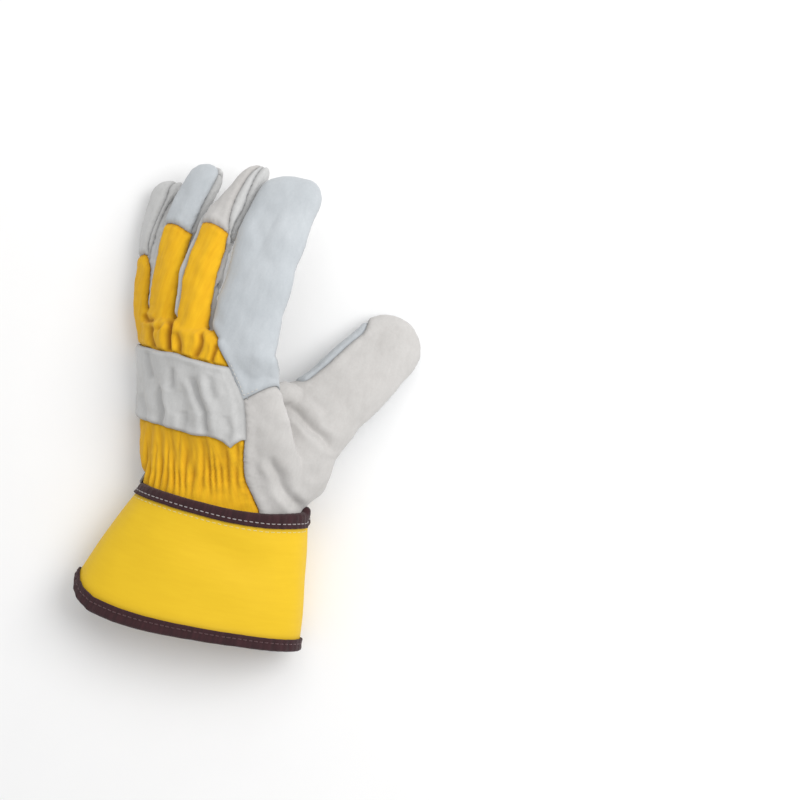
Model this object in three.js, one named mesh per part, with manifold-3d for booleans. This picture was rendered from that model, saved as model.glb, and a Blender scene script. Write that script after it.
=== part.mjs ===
// Leather-palm work glove for the left hand, lying on its little-finger side.
// Millimetres. +Y runs from the cuff to the fingertips, +X to the thumb, +Z up from the surface it lies on.
// The hand is rolled so that its back faces up and away from the thumb. The cuff lies flat.
// It rests on the rim of the cuff, the little finger and the tip of the thumb.

import * as THREE from 'three';
import { mergeVertices } from 'three/addons/utils/BufferGeometryUtils.js';
import { ParametricGeometry } from 'three/addons/geometries/ParametricGeometry.js';
import Module from 'manifold-3d';

const wasm = await Module();
wasm.setup();

// Cuff
const cuffHeight = 66;
const cuffOpeningWidth = 127;
const cuffOpeningHeight = 46;
const cuffRimSag = 4.5;
const cuffTopSag = 4;
const cuffTopSlope = 0.17;
const cuffTopTilt = 0.09;
const cuffOverlap = 3.5;
const cuffWall = 1.4;

// Bindings of the cuff's two edges
const rimBindingWidth = 6;
const topBindingWidth = 5;
const bindingThickness = 1.2;

// Hand
const palmLength = 93;
const palmWidth = 104;
const palmThickness = 38;
const seamAllowance = 12;
const leather = 1.7;
const webDepth = 9;

// Overlaid leather
const strapThickness = 1.5;
const tabThickness = 1.1;

// Fingers
const indexLength = 98;
const middleLength = 97;
const ringLength = 93;
const pinkyLength = 78;
const fingerWidth = 26;
const fingerThickness = 19;
const fingerStripWidth = 19;
const fingertipLength = 40;

// Thumb
const thumbLength = 129;
const thumbWidth = 41;
const thumbThickness = 22;
const thumbFoldDepth = 2.2;

// Gathers of the elastic across the wrist
const gatherCount = 8;
const gatherDepth = 0.9;
const gatherReach = 26;
const gatherSteps = 3;

// Clearances
const seamGap = 0.3;
const layGap = 0.3;

// Hand sections. along is a share of the palm's length from the cuff's top edge, side, up and cup are shares of
// the palm's width, width and thick are shares of the palm's width and thickness, roll is in degrees.
const handRows = [
  { along: -0.19, side: -0.008, up: 0.241, width: 0.84, thick: 0.95, roll: 2, cup: 0.02 },
  { along: 0.0, side: -0.014, up: 0.242, width: 0.845, thick: 1.0, roll: 4, cup: 0.03 },
  { along: 0.19, side: -0.075, up: 0.25, width: 0.94, thick: 1.05, roll: 14, cup: 0.05 },
  { along: 0.4, side: -0.155, up: 0.298, width: 0.98, thick: 1.0, roll: 26, cup: 0.07 },
  { along: 0.62, side: -0.25, up: 0.347, width: 0.985, thick: 0.88, roll: 34, cup: 0.095 },
  { along: 0.78, side: -0.335, up: 0.375, width: 0.995, thick: 0.72, roll: 37.5, cup: 0.115 },
  { along: 0.9, side: -0.372, up: 0.4, width: 1.03, thick: 0.58, roll: 39.5, cup: 0.125 },
];

// Fingers. across is the place of the root on the knuckle section, as a share of its half width from the middle
// towards the thumb. side and up place the tip as shares of the palm's width, turn is the roll there in degrees.
// bow is how far the middle stands out sideways, as a share of the palm's width. width and thick are shares of
// the named finger width and thickness.
const fingers = {
  index: { length: indexLength, across: 0.64, side: -0.138, up: 0.44, turn: 16, bow: -0.033, width: 1.37, thick: 0.9 },
  middle: { length: middleLength, across: 0.04, side: -0.379, up: 0.335, turn: 32, bow: -0.066, width: 0.88, thick: 0.95 },
  ring: { length: ringLength, across: -0.42, side: -0.592, up: 0.245, turn: 36, bow: -0.072, width: 0.84, thick: 0.9 },
  pinky: { length: pinkyLength, across: -0.75, side: -0.804, up: 0.08, turn: 42, bow: -0.052, width: 0.82, thick: 0.92 },
};

// Form of every finger. at is a share of its length from the knuckle section, size scales its section and
// pinch is the depth of a joint crease on the palm side, as a share of the thickness.
const fingerForm = [
  { at: -0.2, size: 0.7, pinch: 0 },
  { at: 0.0, size: 1.0, pinch: 0 },
  { at: 0.36, size: 1.02, pinch: 0 },
  { at: 0.5, size: 0.99, pinch: 0.09 },
  { at: 0.63, size: 1.02, pinch: 0 },
  { at: 0.75, size: 0.97, pinch: 0.05 },
  { at: 0.87, size: 0.94, pinch: 0 },
];

// Thumb sections. at, side, on and up are shares of the thumb's length, width and thick are shares of the
// thumb's width and thickness, turn is in degrees, fold is a share of the fold's depth.
const thumbRows = [
  { at: 0.0, side: 0.13, on: 0.11, up: 0.2, width: 1.12, thick: 1.35, turn: 12, fold: 0 },
  { at: 0.2, side: 0.178, on: 0.255, up: 0.225, width: 1.36, thick: 1.4, turn: 12, fold: 0 },
  { at: 0.38, side: 0.225, on: 0.405, up: 0.222, width: 1.21, thick: 1.25, turn: 10, fold: 0 },
  { at: 0.46, side: 0.265, on: 0.487, up: 0.21, width: 1.12, thick: 1.15, turn: 9, fold: 1 },
  { at: 0.54, side: 0.305, on: 0.565, up: 0.19, width: 1.04, thick: 1.08, turn: 8, fold: 0 },
  { at: 0.63, side: 0.35, on: 0.65, up: 0.165, width: 1.02, thick: 1.0, turn: 6, fold: 0.5 },
  { at: 0.72, side: 0.395, on: 0.735, up: 0.128, width: 1.0, thick: 0.95, turn: 5, fold: 0 },
  { at: 0.84, side: 0.45, on: 0.84, up: 0.09, width: 0.95, thick: 0.92, turn: 3, fold: 0 },
];

// Border between the back fabric and the leather of the thumb side. across is a share of the half width.
const backBorder = [
  { along: -0.2, across: 0.52 },
  { along: 0.04, across: 0.5 },
  { along: 0.2, across: 0.5 },
  { along: 0.4, across: 0.56 },
  { along: 0.62, across: 0.68 },
  { along: 0.78, across: 0.62 },
  { along: 0.9, across: 0.5 },
  { along: 1.2, across: 0.4 },
];

// Outlines seen from above, as shares of the palm's width and length, for the leather laid over the back of
// the knuckles and the palm leather's tab that lies over the cuff.
const strapOutline = [
  { side: -0.95, along: 0.34 },
  { side: -0.3, along: 0.37 },
  { side: 0.2, along: 0.41 },
  { side: 0.2, along: 0.82 },
  { side: -0.23, along: 0.79 },
  { side: -0.45, along: 0.775 },
  { side: -0.95, along: 0.73 },
];
const tabOutline = [
  { side: -0.46, along: 0.02 },
  { side: -0.43, along: -0.3 },
  { side: -0.1, along: -0.3 },
  { side: -0.03, along: -0.24 },
  { side: -0.02, along: 0.02 },
];

const indexBackFrom = 0.66;
const degrees = Math.PI / 180;
const fullness = 0.92;
const rimStart = 2;
const cuffShortening = 6;
const palmStart = rimStart + cuffHeight - cuffShortening;
const knuckleRow = handRows[handRows.length - 1];
const knucklesAt = palmStart + knuckleRow.along * palmLength;
const wristRow = handRows[1];
const wristSide = palmWidth * wristRow.side;
const wristUp = palmWidth * wristRow.up;

// Smooth value of one column of a table at a place along it
function columnAt(rows, place, key, at) {
  const last = rows.length - 1;
  let i = 0;
  while (i < last - 1 && at > rows[i + 1][place]) i += 1;
  const a = rows[i];
  const b = rows[i + 1];
  const before = rows[Math.max(i - 1, 0)];
  const after = rows[Math.min(i + 2, last)];
  const span = b[place] - a[place];
  const t = Math.min(Math.max((at - a[place]) / span, 0), 1);
  const slopeA = ((b[key] - before[key]) / (b[place] - before[place])) * span;
  const slopeB = ((after[key] - a[key]) / (after[place] - a[place])) * span;
  const t2 = t * t;
  const t3 = t2 * t;
  const fromA = a[key] * (2 * t3 - 3 * t2 + 1) + slopeA * (t3 - 2 * t2 + t);
  const fromB = b[key] * (3 * t2 - 2 * t3) + slopeB * (t3 - t2);
  return fromA + fromB;
}

// Signed power, which makes an ellipse fuller
function full(value, power = fullness) {
  return Math.sign(value) * Math.abs(value) ** power;
}

// A place along a limb: its centre, the axis across it, the axis out of its back, and its half sizes
function handPlace(along) {
  const col = (key) => columnAt(handRows, 'along', key, along);
  const roll = col('roll') * degrees;
  return {
    centre: new THREE.Vector3(col('side') * palmWidth, palmStart + along * palmLength, col('up') * palmWidth),
    across: new THREE.Vector3(Math.cos(roll), 0, Math.sin(roll)),
    outward: new THREE.Vector3(-Math.sin(roll), 0, Math.cos(roll)),
    halfWidth: (col('width') * palmWidth) / 2,
    halfThick: (col('thick') * palmThickness) / 2,
    cup: col('cup') * palmWidth,
    roll,
    dent: 0,
  };
}

// Height of the cupped middle surface of the hand over its chord
function cupAt(place, across) {
  return -place.cup * (across * across - 0.5);
}

// Middle of the hand at a share of its half width
function handMiddle(along, across) {
  const place = handPlace(along);
  return place.centre
    .addScaledVector(place.across, across * place.halfWidth)
    .addScaledVector(place.outward, cupAt(place, across));
}

// The finger leaves the palm in the palm's own direction and bends smoothly towards its tip
const straightShare = 0.35;
const rootStep = 0.1;
const rootCarry = 0.5;

function fingerCentre(finger, at) {
  const root = handMiddle(knuckleRow.along, finger.across);
  if (at < 0) return handMiddle(knuckleRow.along + (at * finger.length) / palmLength, finger.across);
  const tip = new THREE.Vector3(finger.side * palmWidth, knucklesAt + finger.length, finger.up * palmWidth);
  const bend = straightShare * at + (1 - straightShare) * at * at;
  const along = root.y + (tip.y - root.y) * at;
  const before = handMiddle(knuckleRow.along - rootStep, finger.across);
  const lean = root.clone().sub(before).multiplyScalar(rootCarry);
  const carry = at * (1 - at) * (1 - at);
  const bow = finger.bow * palmWidth * 4 * at * (1 - at);
  return new THREE.Vector3(
    root.x + (tip.x - root.x) * bend + lean.x * carry + bow, along,
    root.z + (tip.z - root.z) * bend + lean.z * carry,
  );
}

function fingerPlace(finger, at) {
  const step = 0.02;
  const tangent = fingerCentre(finger, at + step).sub(fingerCentre(finger, at - step)).normalize();
  const share = Math.min(Math.max(at, 0), 1);
  const knuckles = handPlace(knuckleRow.along);
  const rootTurn = knuckles.roll + Math.atan((-2 * knuckles.cup * finger.across) / knuckles.halfWidth);
  const turn = rootTurn + (finger.turn * degrees - rootTurn) * share;
  const level = new THREE.Vector3(Math.cos(turn), 0, Math.sin(turn));
  const outward = new THREE.Vector3().crossVectors(level, tangent).normalize();
  const size = columnAt(fingerForm, 'at', 'size', at);
  return {
    centre: fingerCentre(finger, at),
    across: new THREE.Vector3().crossVectors(tangent, outward),
    outward,
    halfWidth: (finger.width * fingerWidth * size) / 2,
    halfThick: (finger.thick * fingerThickness * size) / 2,
    cup: 0,
    dent: Math.max(columnAt(fingerForm, 'at', 'pinch', at), 0) * fingerThickness,
    dentSide: -1,
  };
}

function thumbCentre(at) {
  const col = (key) => columnAt(thumbRows, 'at', key, at);
  return new THREE.Vector3(
    col('side') * thumbLength + wristSide, palmStart + col('on') * thumbLength, col('up') * thumbLength,
  );
}

function thumbPlace(at) {
  const col = (key) => columnAt(thumbRows, 'at', key, at);
  const step = 0.02;
  const low = Math.max(at - step, 0);
  const high = Math.min(at + step, thumbRows[thumbRows.length - 1].at);
  const tangent = thumbCentre(high).sub(thumbCentre(low)).normalize();
  const turn = col('turn') * degrees;
  const level = new THREE.Vector3(tangent.y, -tangent.x, 0).normalize().multiplyScalar(Math.cos(turn));
  level.z = Math.sin(turn);
  const outward = new THREE.Vector3().crossVectors(level, tangent).normalize();
  return {
    centre: thumbCentre(at),
    across: new THREE.Vector3().crossVectors(tangent, outward),
    outward,
    halfWidth: (col('width') * thumbWidth) / 2,
    halfThick: (col('thick') * thumbThickness) / 2,
    cup: 0,
    dent: Math.max(col('fold'), 0) * thumbFoldDepth,
    dentSide: 1,
  };
}

// A point on the skin of a limb at an angle round it, grown outwards by a distance. Where the skin rests it lies
// flat on the surface.
function skinPoint(place, angle, grow, shrink) {
  const cos = full(Math.cos(angle));
  const sin = full(Math.sin(angle));
  const dent = Math.sign(sin) === place.dentSide ? place.dent * Math.abs(sin) : 0;
  const across = (place.halfWidth + grow) * cos * shrink;
  const out = ((place.halfThick + grow - dent) * sin + cupAt(place, cos)) * shrink;
  const point = place.centre.clone().addScaledVector(place.across, across).addScaledVector(place.outward, out);
  point.z = Math.max(point.z, -grow);
  return point;
}

// A closed solid through a list of rings of points. Where ends is true each end is drawn to its middle,
// and otherwise the last ring joins the first.
function solidFromRings(rings, ends = true) {
  const rows = ends ? [pointRow(rings[0]), ...rings, pointRow(rings[rings.length - 1])] : [...rings, rings[0]];
  const around = rows[0].length;
  const geometry = new ParametricGeometry(
    (u, v, out) => out.copy(rows[Math.round(v * (rows.length - 1))][Math.round(u * around) % around]),
    around,
    rows.length - 1,
  );
  return solidFromGeometry(geometry);
}

function pointRow(ring) {
  const middle = new THREE.Vector3();
  for (const point of ring) middle.addScaledVector(point, 1 / ring.length);
  return ring.map(() => middle);
}

function solidFromGeometry(geometry) {
  geometry.deleteAttribute('normal');
  geometry.deleteAttribute('uv');
  const merged = mergeVertices(geometry, 1e-4);
  const index = merged.index.array;
  const corners = [];
  for (let i = 0; i < index.length; i += 3) {
    const [a, b, c] = [index[i], index[i + 1], index[i + 2]];
    if (a !== b && b !== c && a !== c) corners.push(a, b, c);
  }
  const solid = solidFromCorners(merged.attributes.position.array, corners);
  return solid.volume() > 0 ? solid : solidFromCorners(merged.attributes.position.array, corners.reverse());
}

function solidFromCorners(positions, corners) {
  const vertProperties = new Float32Array(positions);
  return new wasm.Manifold(new wasm.Mesh({ numProp: 3, vertProperties, triVerts: new Uint32Array(corners) }));
}

function ringAt(place, angles, grow, shrink = 1, ripple = () => 0) {
  return angles.map((angle) => skinPoint(place, angle, grow + ripple(angle), shrink));
}

function evenAngles(count) {
  return Array.from({ length: count }, (_, i) => (i / count) * 2 * Math.PI);
}

function joined(solids) {
  return solids.reduce((all, one) => all.add(one));
}

// Angles round the hand, close together over the back where the gathers are
const backFrom = 50 * degrees;
const backTo = 190 * degrees;

function handAngles(backSteps, palmSteps) {
  const back = Array.from({ length: backSteps }, (_, i) => backFrom + ((backTo - backFrom) * i) / backSteps);
  const rest = 2 * Math.PI - (backTo - backFrom);
  const palm = Array.from({ length: palmSteps }, (_, i) => backTo + (rest * i) / palmSteps);
  return [...back, ...palm];
}

// Gathers: ribs over the back that are deepest at the elastic line and fade before the strap
const elasticShare = 0.45;
const elasticAlong = (gatherReach * elasticShare) / palmLength;

function gatherAt(along, angle) {
  const fade = 1 - Math.min(Math.abs(along - elasticAlong) / (gatherReach / palmLength), 1);
  const over = (angle - backFrom) / (backTo - backFrom);
  if (over < 0.05 || over > 1) return 0;
  return -gatherDepth * fade * (1 - Math.cos(2 * Math.PI * gatherCount * over));
}

// Rounded end of a limb, from its last section
const capSteps = [0.5, 0.87];

function capRings(end, forward, length, angles, grow) {
  const rings = capSteps.map((step) => {
    const centre = end.centre.clone().addScaledVector(forward, (length + grow) * step);
    return ringAt({ ...end, centre }, angles, grow, Math.sqrt(1 - step * step));
  });
  const tip = end.centre.clone().addScaledVector(forward, length + grow);
  return [...rings, angles.map(() => tip)];
}

function palmSolid(grow, angles, stations, ripple) {
  const rings = stations.map((along) => ringAt(handPlace(along), angles, grow, 1, (angle) => ripple(along, angle)));
  const forward = new THREE.Vector3(0, 1, 0);
  return solidFromRings([...rings, ...capRings(handPlace(knuckleRow.along), forward, webDepth, angles, grow)]);
}

function limbSolid(placeAt, stations, length, angles, grow) {
  const end = placeAt(stations[stations.length - 1]);
  const forward = new THREE.Vector3().crossVectors(end.outward, end.across);
  const rings = stations.map((at) => ringAt(placeAt(at), angles, grow));
  return solidFromRings([...rings, ...capRings(end, forward, length, angles, grow)]);
}

const fingerStations = fingerForm.map((row) => row.at);
const plainFingerStations = [-0.2, 0, 0.3, 0.6, 0.87];
const thumbStations = thumbRows.map((row) => row.at);

function fingerSolid(finger, grow, sides, stations) {
  const capLength = finger.length * (1 - fingerForm[fingerForm.length - 1].at);
  return limbSolid((at) => fingerPlace(finger, at), stations, capLength, evenAngles(sides), grow);
}

function thumbSolid(grow, sides) {
  const capLength = thumbLength * (1 - thumbRows[thumbRows.length - 1].at);
  return limbSolid(thumbPlace, thumbStations, capLength, evenAngles(sides), grow);
}

const wristEnd = -seamAllowance / palmLength;
const outerStations = [wristEnd, -0.03, 0.05, 0.12, 0.2, 0.32, 0.46, 0.62, 0.78, knuckleRow.along];
const innerStations = [3 * wristEnd, wristEnd, 0.05, 0.2, 0.4, 0.62, 0.78, knuckleRow.along];

// The whole outside of the hand, fingers and thumb
function handOutside(grow, ripple = gatherAt) {
  const palm = palmSolid(grow, handAngles(gatherSteps * gatherCount, 12), outerStations, ripple);
  const tubes = Object.values(fingers).map((finger) => fingerSolid(finger, grow, 12, fingerStations));
  return joined([palm, ...tubes, thumbSolid(grow, 16)]);
}

// The hollow inside them, which leaves the hand at the wrist
const gatherInside = 0.35;

function handInside() {
  const underGathers = -leather - gatherDepth * gatherInside;
  const palm = palmSolid(underGathers, handAngles(10, 8), innerStations, () => 0);
  const tubes = Object.values(fingers).map((finger) => fingerSolid(finger, -leather, 8, plainFingerStations));
  return joined([palm, ...tubes, thumbSolid(-leather, 10)]);
}

const outside = handOutside(0);
let skin = outside.subtract(handInside());

const group = new THREE.Group();
const finishes = {
  leather: new THREE.MeshStandardMaterial({ color: 0xcfd0d0, roughness: 0.95, metalness: 0 }),
  fabric: new THREE.MeshStandardMaterial({ color: 0xf6b81e, roughness: 0.9, metalness: 0 }),
  cuffCloth: new THREE.MeshStandardMaterial({ color: 0xf2cb2c, roughness: 0.6, metalness: 0 }),
  binding: new THREE.MeshStandardMaterial({ color: 0x47211f, roughness: 0.85, metalness: 0 }),
};

function addPiece(name, solid, finish) {
  const parts = solid.decompose().sort((a, b) => b.volume() - a.volume());
  const mesh = parts[0].getMesh();
  const geometry = new THREE.BufferGeometry();
  geometry.setAttribute('position', new THREE.BufferAttribute(new Float32Array(mesh.vertProperties), 3));
  geometry.setIndex(new THREE.BufferAttribute(new Uint32Array(mesh.triVerts), 1));
  const piece = new THREE.Mesh(geometry, finishes[finish]);
  piece.name = name;
  group.add(piece);
}

// A region that follows a limb, from one side of its section to the other and out of its back or its palm.
// sidesAt gives the two sides, as distances across, lowAt the height of its floor at a distance across, and farAt
// is the height of its flat far side.
const bandSteps = 6;
const sideReach = 14;
const handReach = 34;
const fingerReach = 14;

function bandSolid(placeAt, stations, sidesAt, lowAt, farAt, grow) {
  const rings = stations.map((at) => {
    const place = placeAt(at);
    const [from, to] = sidesAt(place, at);
    const across = bandStations(from, to, bandSteps + 1, grow);
    const near = across.map((side) => [side, lowAt(place, side)]);
    const far = near.map(([side]) => [side, farAt]).reverse();
    return [...near, ...far].map(([side, out]) => place.centre
      .clone()
      .addScaledVector(place.across, side)
      .addScaledVector(place.outward, out));
  });
  return solidFromRings(rings);
}

function spread(from, to, count) {
  return Array.from({ length: count }, (_, i) => from + ((to - from) * i) / (count - 1));
}

// Places along a band, of which only the first and the last move when it grows
function bandStations(from, to, count, more) {
  const places = spread(from, to, count);
  places[0] -= more;
  places[count - 1] += more;
  return places;
}

// A part of the back of the hand, between two places along it and two borders across it. On the side of the
// little finger it goes a little way under.
const littleSideDrop = 3;
const dropFrom = 0.75;

function handBand(fromAlong, toAlong, sidesAt, grow, thumbSideDrop = 0) {
  const more = grow / palmLength;
  const drop = (place, side) => {
    const past = Math.max(Math.abs(side) / place.halfWidth - dropFrom, 0) / (1 - dropFrom);
    return Math.min(past, 1) * (side < 0 ? littleSideDrop : thumbSideDrop);
  };
  const lowAt = (place, side) => cupAt(place, side / place.halfWidth) - drop(place, side) - grow;
  return bandSolid(handPlace, bandStations(fromAlong, toAlong, 7, more), sidesAt, lowAt, handReach + grow, grow);
}

// A part of a finger, out of its back for a positive reach and out of its palm side for a negative one
function fingerBand(finger, fromAt, toAt, sidesAt, low, reach, grow) {
  const more = grow / finger.length;
  const lowAt = () => low - Math.sign(reach) * grow;
  const stations = bandStations(fromAt, toAt, 6, more);
  const farAt = reach + Math.sign(reach) * grow;
  return bandSolid((at) => fingerPlace(finger, at), stations, sidesAt, lowAt, farAt, grow);
}

function thumbBand(fromAt, reach, grow) {
  const sidesAt = (place) => [-place.halfWidth - 2, place.halfWidth + fingerReach];
  const lowAt = () => -Math.sign(reach) * grow;
  const stations = bandStations(fromAt, pastTip, 5, grow / thumbLength);
  return bandSolid(thumbPlaceOn, stations, sidesAt, lowAt, reach + Math.sign(reach) * grow, grow);
}

// The thumb's places go on straight past its last section
function thumbPlaceOn(at) {
  const last = thumbStations[thumbStations.length - 1];
  const place = thumbPlace(Math.min(at, last));
  const forward = new THREE.Vector3().crossVectors(place.outward, place.across);
  place.centre.addScaledVector(forward, Math.max(at - last, 0) * thumbLength);
  return place;
}

// A region seen from above, from an outline in shares of the palm's width and length
function planSolid(outline, low, high, grow = 0) {
  const corners = outline.map((row) => new THREE.Vector2(row.side * palmWidth, palmStart + row.along * palmLength));
  const middle = corners.reduce((sum, corner) => sum.add(corner), new THREE.Vector2()).divideScalar(corners.length);
  for (const corner of corners) corner.addScaledVector(corner.clone().sub(middle).normalize(), grow);
  const geometry = new THREE.ExtrudeGeometry(new THREE.Shape(corners), { depth: high - low, bevelEnabled: false });
  return solidFromGeometry(geometry.translate(0, 0, low));
}

const borderAt = (place, along) => columnAt(backBorder, 'along', 'across', along) * place.halfWidth;
const crotchAlong = knuckleRow.along + (webDepth * 0.3) / palmLength;
const pastTip = 1.2;
const backed = { middle: fingers.middle, ring: fingers.ring, pinky: fingers.pinky };
const tipFrom = (finger) => 1 - fingertipLength / finger.length;
const tipShare = 0.86;
const stripLean = 3;
const tipSides = (place) => [-place.halfWidth * tipShare, place.halfWidth * tipShare];
const stripSides = () => [stripLean - fingerStripWidth / 2, stripLean + fingerStripWidth / 2];
const wholeSides = (place) => [-place.halfWidth - seamGap, place.halfWidth + seamGap];
const tipLow = fingerThickness * 0.08;
const indexFrom = 0.02;
const frontFrom = 0.1;
const thumbOuterFrom = 0.12;
const thumbInnerFrom = 0.42;
const strapFrom = 0.3;
const strapTo = 0.85;

// Takes a panel out of the skin and leaves a seam's gap round it
function takePanel(name, finish, cutter) {
  addPiece(name, skin.intersect(cutter(-seamGap / 2)), finish);
  skin = skin.subtract(cutter(seamGap / 2));
}

takePanel('index_back', 'leather', (grow) => joined([
  handBand(indexBackFrom, crotchAlong, (place, along) => [
    borderAt(place, along), place.halfWidth + sideReach,
  ], grow),
  fingerBand(fingers.index, indexFrom, pastTip, wholeSides, -tipLow, fingerReach, grow),
]));

takePanel('back_fabric', 'fabric', (grow) => joined([
  handBand(3 * wristEnd, crotchAlong, (place, along) => [
    -place.halfWidth - sideReach, borderAt(place, along),
  ], grow),
  ...Object.values(backed).map((finger) => (
    fingerBand(finger, 0, tipFrom(finger), stripSides, 0, fingerReach, grow))),
]));

for (const [name, finger] of Object.entries(backed)) {
  takePanel(`${name}_tip`, 'leather', (grow) => (
    fingerBand(finger, tipFrom(finger), pastTip, tipSides, tipLow, fingerReach, grow)));
}

takePanel('thumb_outer', 'leather', (grow) => joined([
  handBand(3 * wristEnd, indexBackFrom, (place, along) => [
    borderAt(place, along), place.halfWidth + sideReach,
  ], grow, fingerReach),
  thumbBand(thumbOuterFrom, handReach, grow),
]));

takePanel('thumb_inner', 'leather', (grow) => thumbBand(thumbInnerFrom, -handReach, grow));

for (const [name, finger] of Object.entries(fingers)) {
  takePanel(`${name}_front`, 'leather', (grow) => (
    fingerBand(finger, frontFrom, pastTip, wholeSides, fingerReach, -fingerReach, grow)));
}

addPiece('palm_leather', skin, 'leather');

// Leather strap over the knuckles, laid on the back fabric
const smoothOutside = (grow) => handOutside(grow, () => 0);
addPiece('knuckle_strap', smoothOutside(layGap + strapThickness)
  .subtract(smoothOutside(layGap))
  .intersect(planSolid(strapOutline, 0, palmWidth))
  .intersect(handBand(strapFrom, strapTo, (place, along) => [
    -place.halfWidth - sideReach, borderAt(place, along),
  ], 0)), 'leather');

// Cuff: a flared sleeve that lies flat. down is the distance from its top edge along the sleeve, and grow is
// the distance out of its outer face.
const underRim = bindingThickness + layGap;
const wristEase = 2;
const inCuff = cuffWall + bindingThickness + 2 * layGap + wristEase;
const topHalfWidth = (palmWidth * wristRow.width) / 2 + inCuff;
const topHalfHeight = (palmThickness * wristRow.thick) / 2 + inCuff;
const rimCentre = cuffOpeningHeight * 0.4;
const rimFlat = 2.5;
const rimReach = rimBindingWidth + 2;

function cuffPoint(down, angle, grow) {
  const cos = full(Math.cos(angle));
  const sin = full(Math.sin(angle));
  const share = Math.min(down / cuffHeight, 1);
  const level = Math.min(Math.max(down, 0) / (cuffHeight - rimReach), 1);
  const mix = (atTop, atRim, part) => atTop + (atRim - atTop) * part;
  const halfWidth = mix(topHalfWidth, cuffOpeningWidth / 2, share);
  const over = mix(topHalfHeight, cuffOpeningHeight - rimCentre, level);
  const under = mix(topHalfHeight, rimCentre - underRim + rimFlat, level);
  const middle = mix(wristUp, rimCentre, level);
  const x = wristSide + (halfWidth + grow) * cos;
  const tilt = cuffTopTilt * topHalfWidth * cos * (1 - level);
  const z = middle + ((sin > 0 ? over : under) + grow) * sin + tilt;
  const topMiddle = palmStart + cuffOverlap - cuffTopSag;
  const topEdge = topMiddle + cuffTopSag * cos * cos + cuffTopSlope * topHalfWidth * cos;
  const rimEdge = rimStart - cuffRimSag * (1 - cos * cos);
  const y = topEdge + ((rimEdge - topEdge) * down) / cuffHeight;
  return new THREE.Vector3(x, y, Math.max(z, underRim - grow));
}

const cuffAngles = evenAngles(28);

// Rings of a wall that goes down one face of the sleeve and up the other
function sleeveSolid(corners) {
  return solidFromRings(
    corners.map(([down, grow]) => cuffAngles.map((angle) => cuffPoint(down, angle, grow))), false,
  );
}

const sleeveBend = cuffHeight - rimReach;
addPiece('safety_cuff', sleeveSolid([
  [0, 0], [sleeveBend, 0], [cuffHeight, 0], [cuffHeight, -cuffWall], [sleeveBend, -cuffWall], [0, -cuffWall],
]), 'cuffCloth');

// A binding folded over an edge of the sleeve
function foldedBinding(edge, width, into) {
  const face = layGap + bindingThickness;
  const reach = edge + into * width;
  return sleeveSolid([
    [edge - into * face, face], [reach, face], [reach, layGap], [edge - into * layGap, layGap],
    [edge - into * layGap, -cuffWall - layGap], [reach, -cuffWall - layGap],
    [reach, -cuffWall - face], [edge - into * face, -cuffWall - face],
  ]);
}

addPiece('cuff_binding_bottom', foldedBinding(cuffHeight, rimBindingWidth, -1), 'binding');

const tabPlan = planSolid(tabOutline, -underRim, wristUp);
const tabRoom = planSolid(tabOutline, -2 * underRim, wristUp + layGap, 4 * layGap);
addPiece('cuff_binding_top', foldedBinding(0, topBindingWidth, 1).subtract(tabRoom), 'binding');

const sleeveOutside = (grow, from) => solidFromRings(
  [from, sleeveBend, cuffHeight].map((down) => cuffAngles.map((angle) => cuffPoint(down, angle, grow))),
);
addPiece('palm_tab', sleeveOutside(layGap + tabThickness, layGap)
  .subtract(sleeveOutside(layGap, -topBindingWidth))
  .intersect(tabPlan), 'leather');

// The origin is under the middle of the whole
const bounds = new THREE.Box3().setFromObject(group);
const middle = bounds.getCenter(new THREE.Vector3());
for (const piece of group.children) piece.geometry.translate(-middle.x, -middle.y, -bounds.min.z);

export default group;
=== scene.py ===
# Leather-palm work glove for the left hand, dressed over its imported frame.
# The shapes are worked out in millimetres and turned to metres as each mesh is made. In the glove's own
# measure the hand starts at palm_start along Y, and finished moves each piece to where the frame has it.

import math

import bpy
import numpy as np
from mathutils.kdtree import KDTree
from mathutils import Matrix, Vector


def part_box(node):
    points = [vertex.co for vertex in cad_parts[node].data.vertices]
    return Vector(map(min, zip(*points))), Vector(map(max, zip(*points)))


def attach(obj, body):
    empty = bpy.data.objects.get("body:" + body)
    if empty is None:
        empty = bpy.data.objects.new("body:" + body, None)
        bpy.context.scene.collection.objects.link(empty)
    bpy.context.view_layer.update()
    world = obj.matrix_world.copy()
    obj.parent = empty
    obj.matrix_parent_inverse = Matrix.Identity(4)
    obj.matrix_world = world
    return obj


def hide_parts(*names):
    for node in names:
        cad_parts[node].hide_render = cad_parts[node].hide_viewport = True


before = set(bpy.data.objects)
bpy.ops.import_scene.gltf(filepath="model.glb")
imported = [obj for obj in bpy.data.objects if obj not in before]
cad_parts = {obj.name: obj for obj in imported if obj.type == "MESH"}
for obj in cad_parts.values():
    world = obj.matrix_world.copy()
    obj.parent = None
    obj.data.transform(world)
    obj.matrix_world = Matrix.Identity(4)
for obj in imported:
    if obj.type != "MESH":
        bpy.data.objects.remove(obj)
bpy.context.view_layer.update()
bpy.ops.object.select_all(action="DESELECT")

mm = 0.001
degrees = math.pi / 180

# Cuff
cuff_height = 66
cuff_opening_width = 127
cuff_opening_height = 46
cuff_rim_sag = 4.5
cuff_top_sag = 4
cuff_top_slope = 0.17
cuff_top_tilt = 0.09
cuff_overlap = 3.5
cuff_wall = 1.4
cuff_shortening = 6
rim_start = 2
rim_binding_width = 4.8
top_binding_width = 5.4
binding_thickness = 1.2
wrist_ease = 2

# Hand
palm_start = rim_start + cuff_height - cuff_shortening
palm_length = 93
palm_width = 104
palm_thickness = 38
leather = 1.7
web_depth = 9
seam_allowance = 12

# Fingers
finger_width = 26
finger_thickness = 19
fingertip_length = 40

# Thumb
thumb_length = 129
thumb_width = 41
thumb_thickness = 22

# Overlaid leather
lay_gap = 0.3
strap_thickness = 1.5
tab_thickness = 1.1

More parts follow.
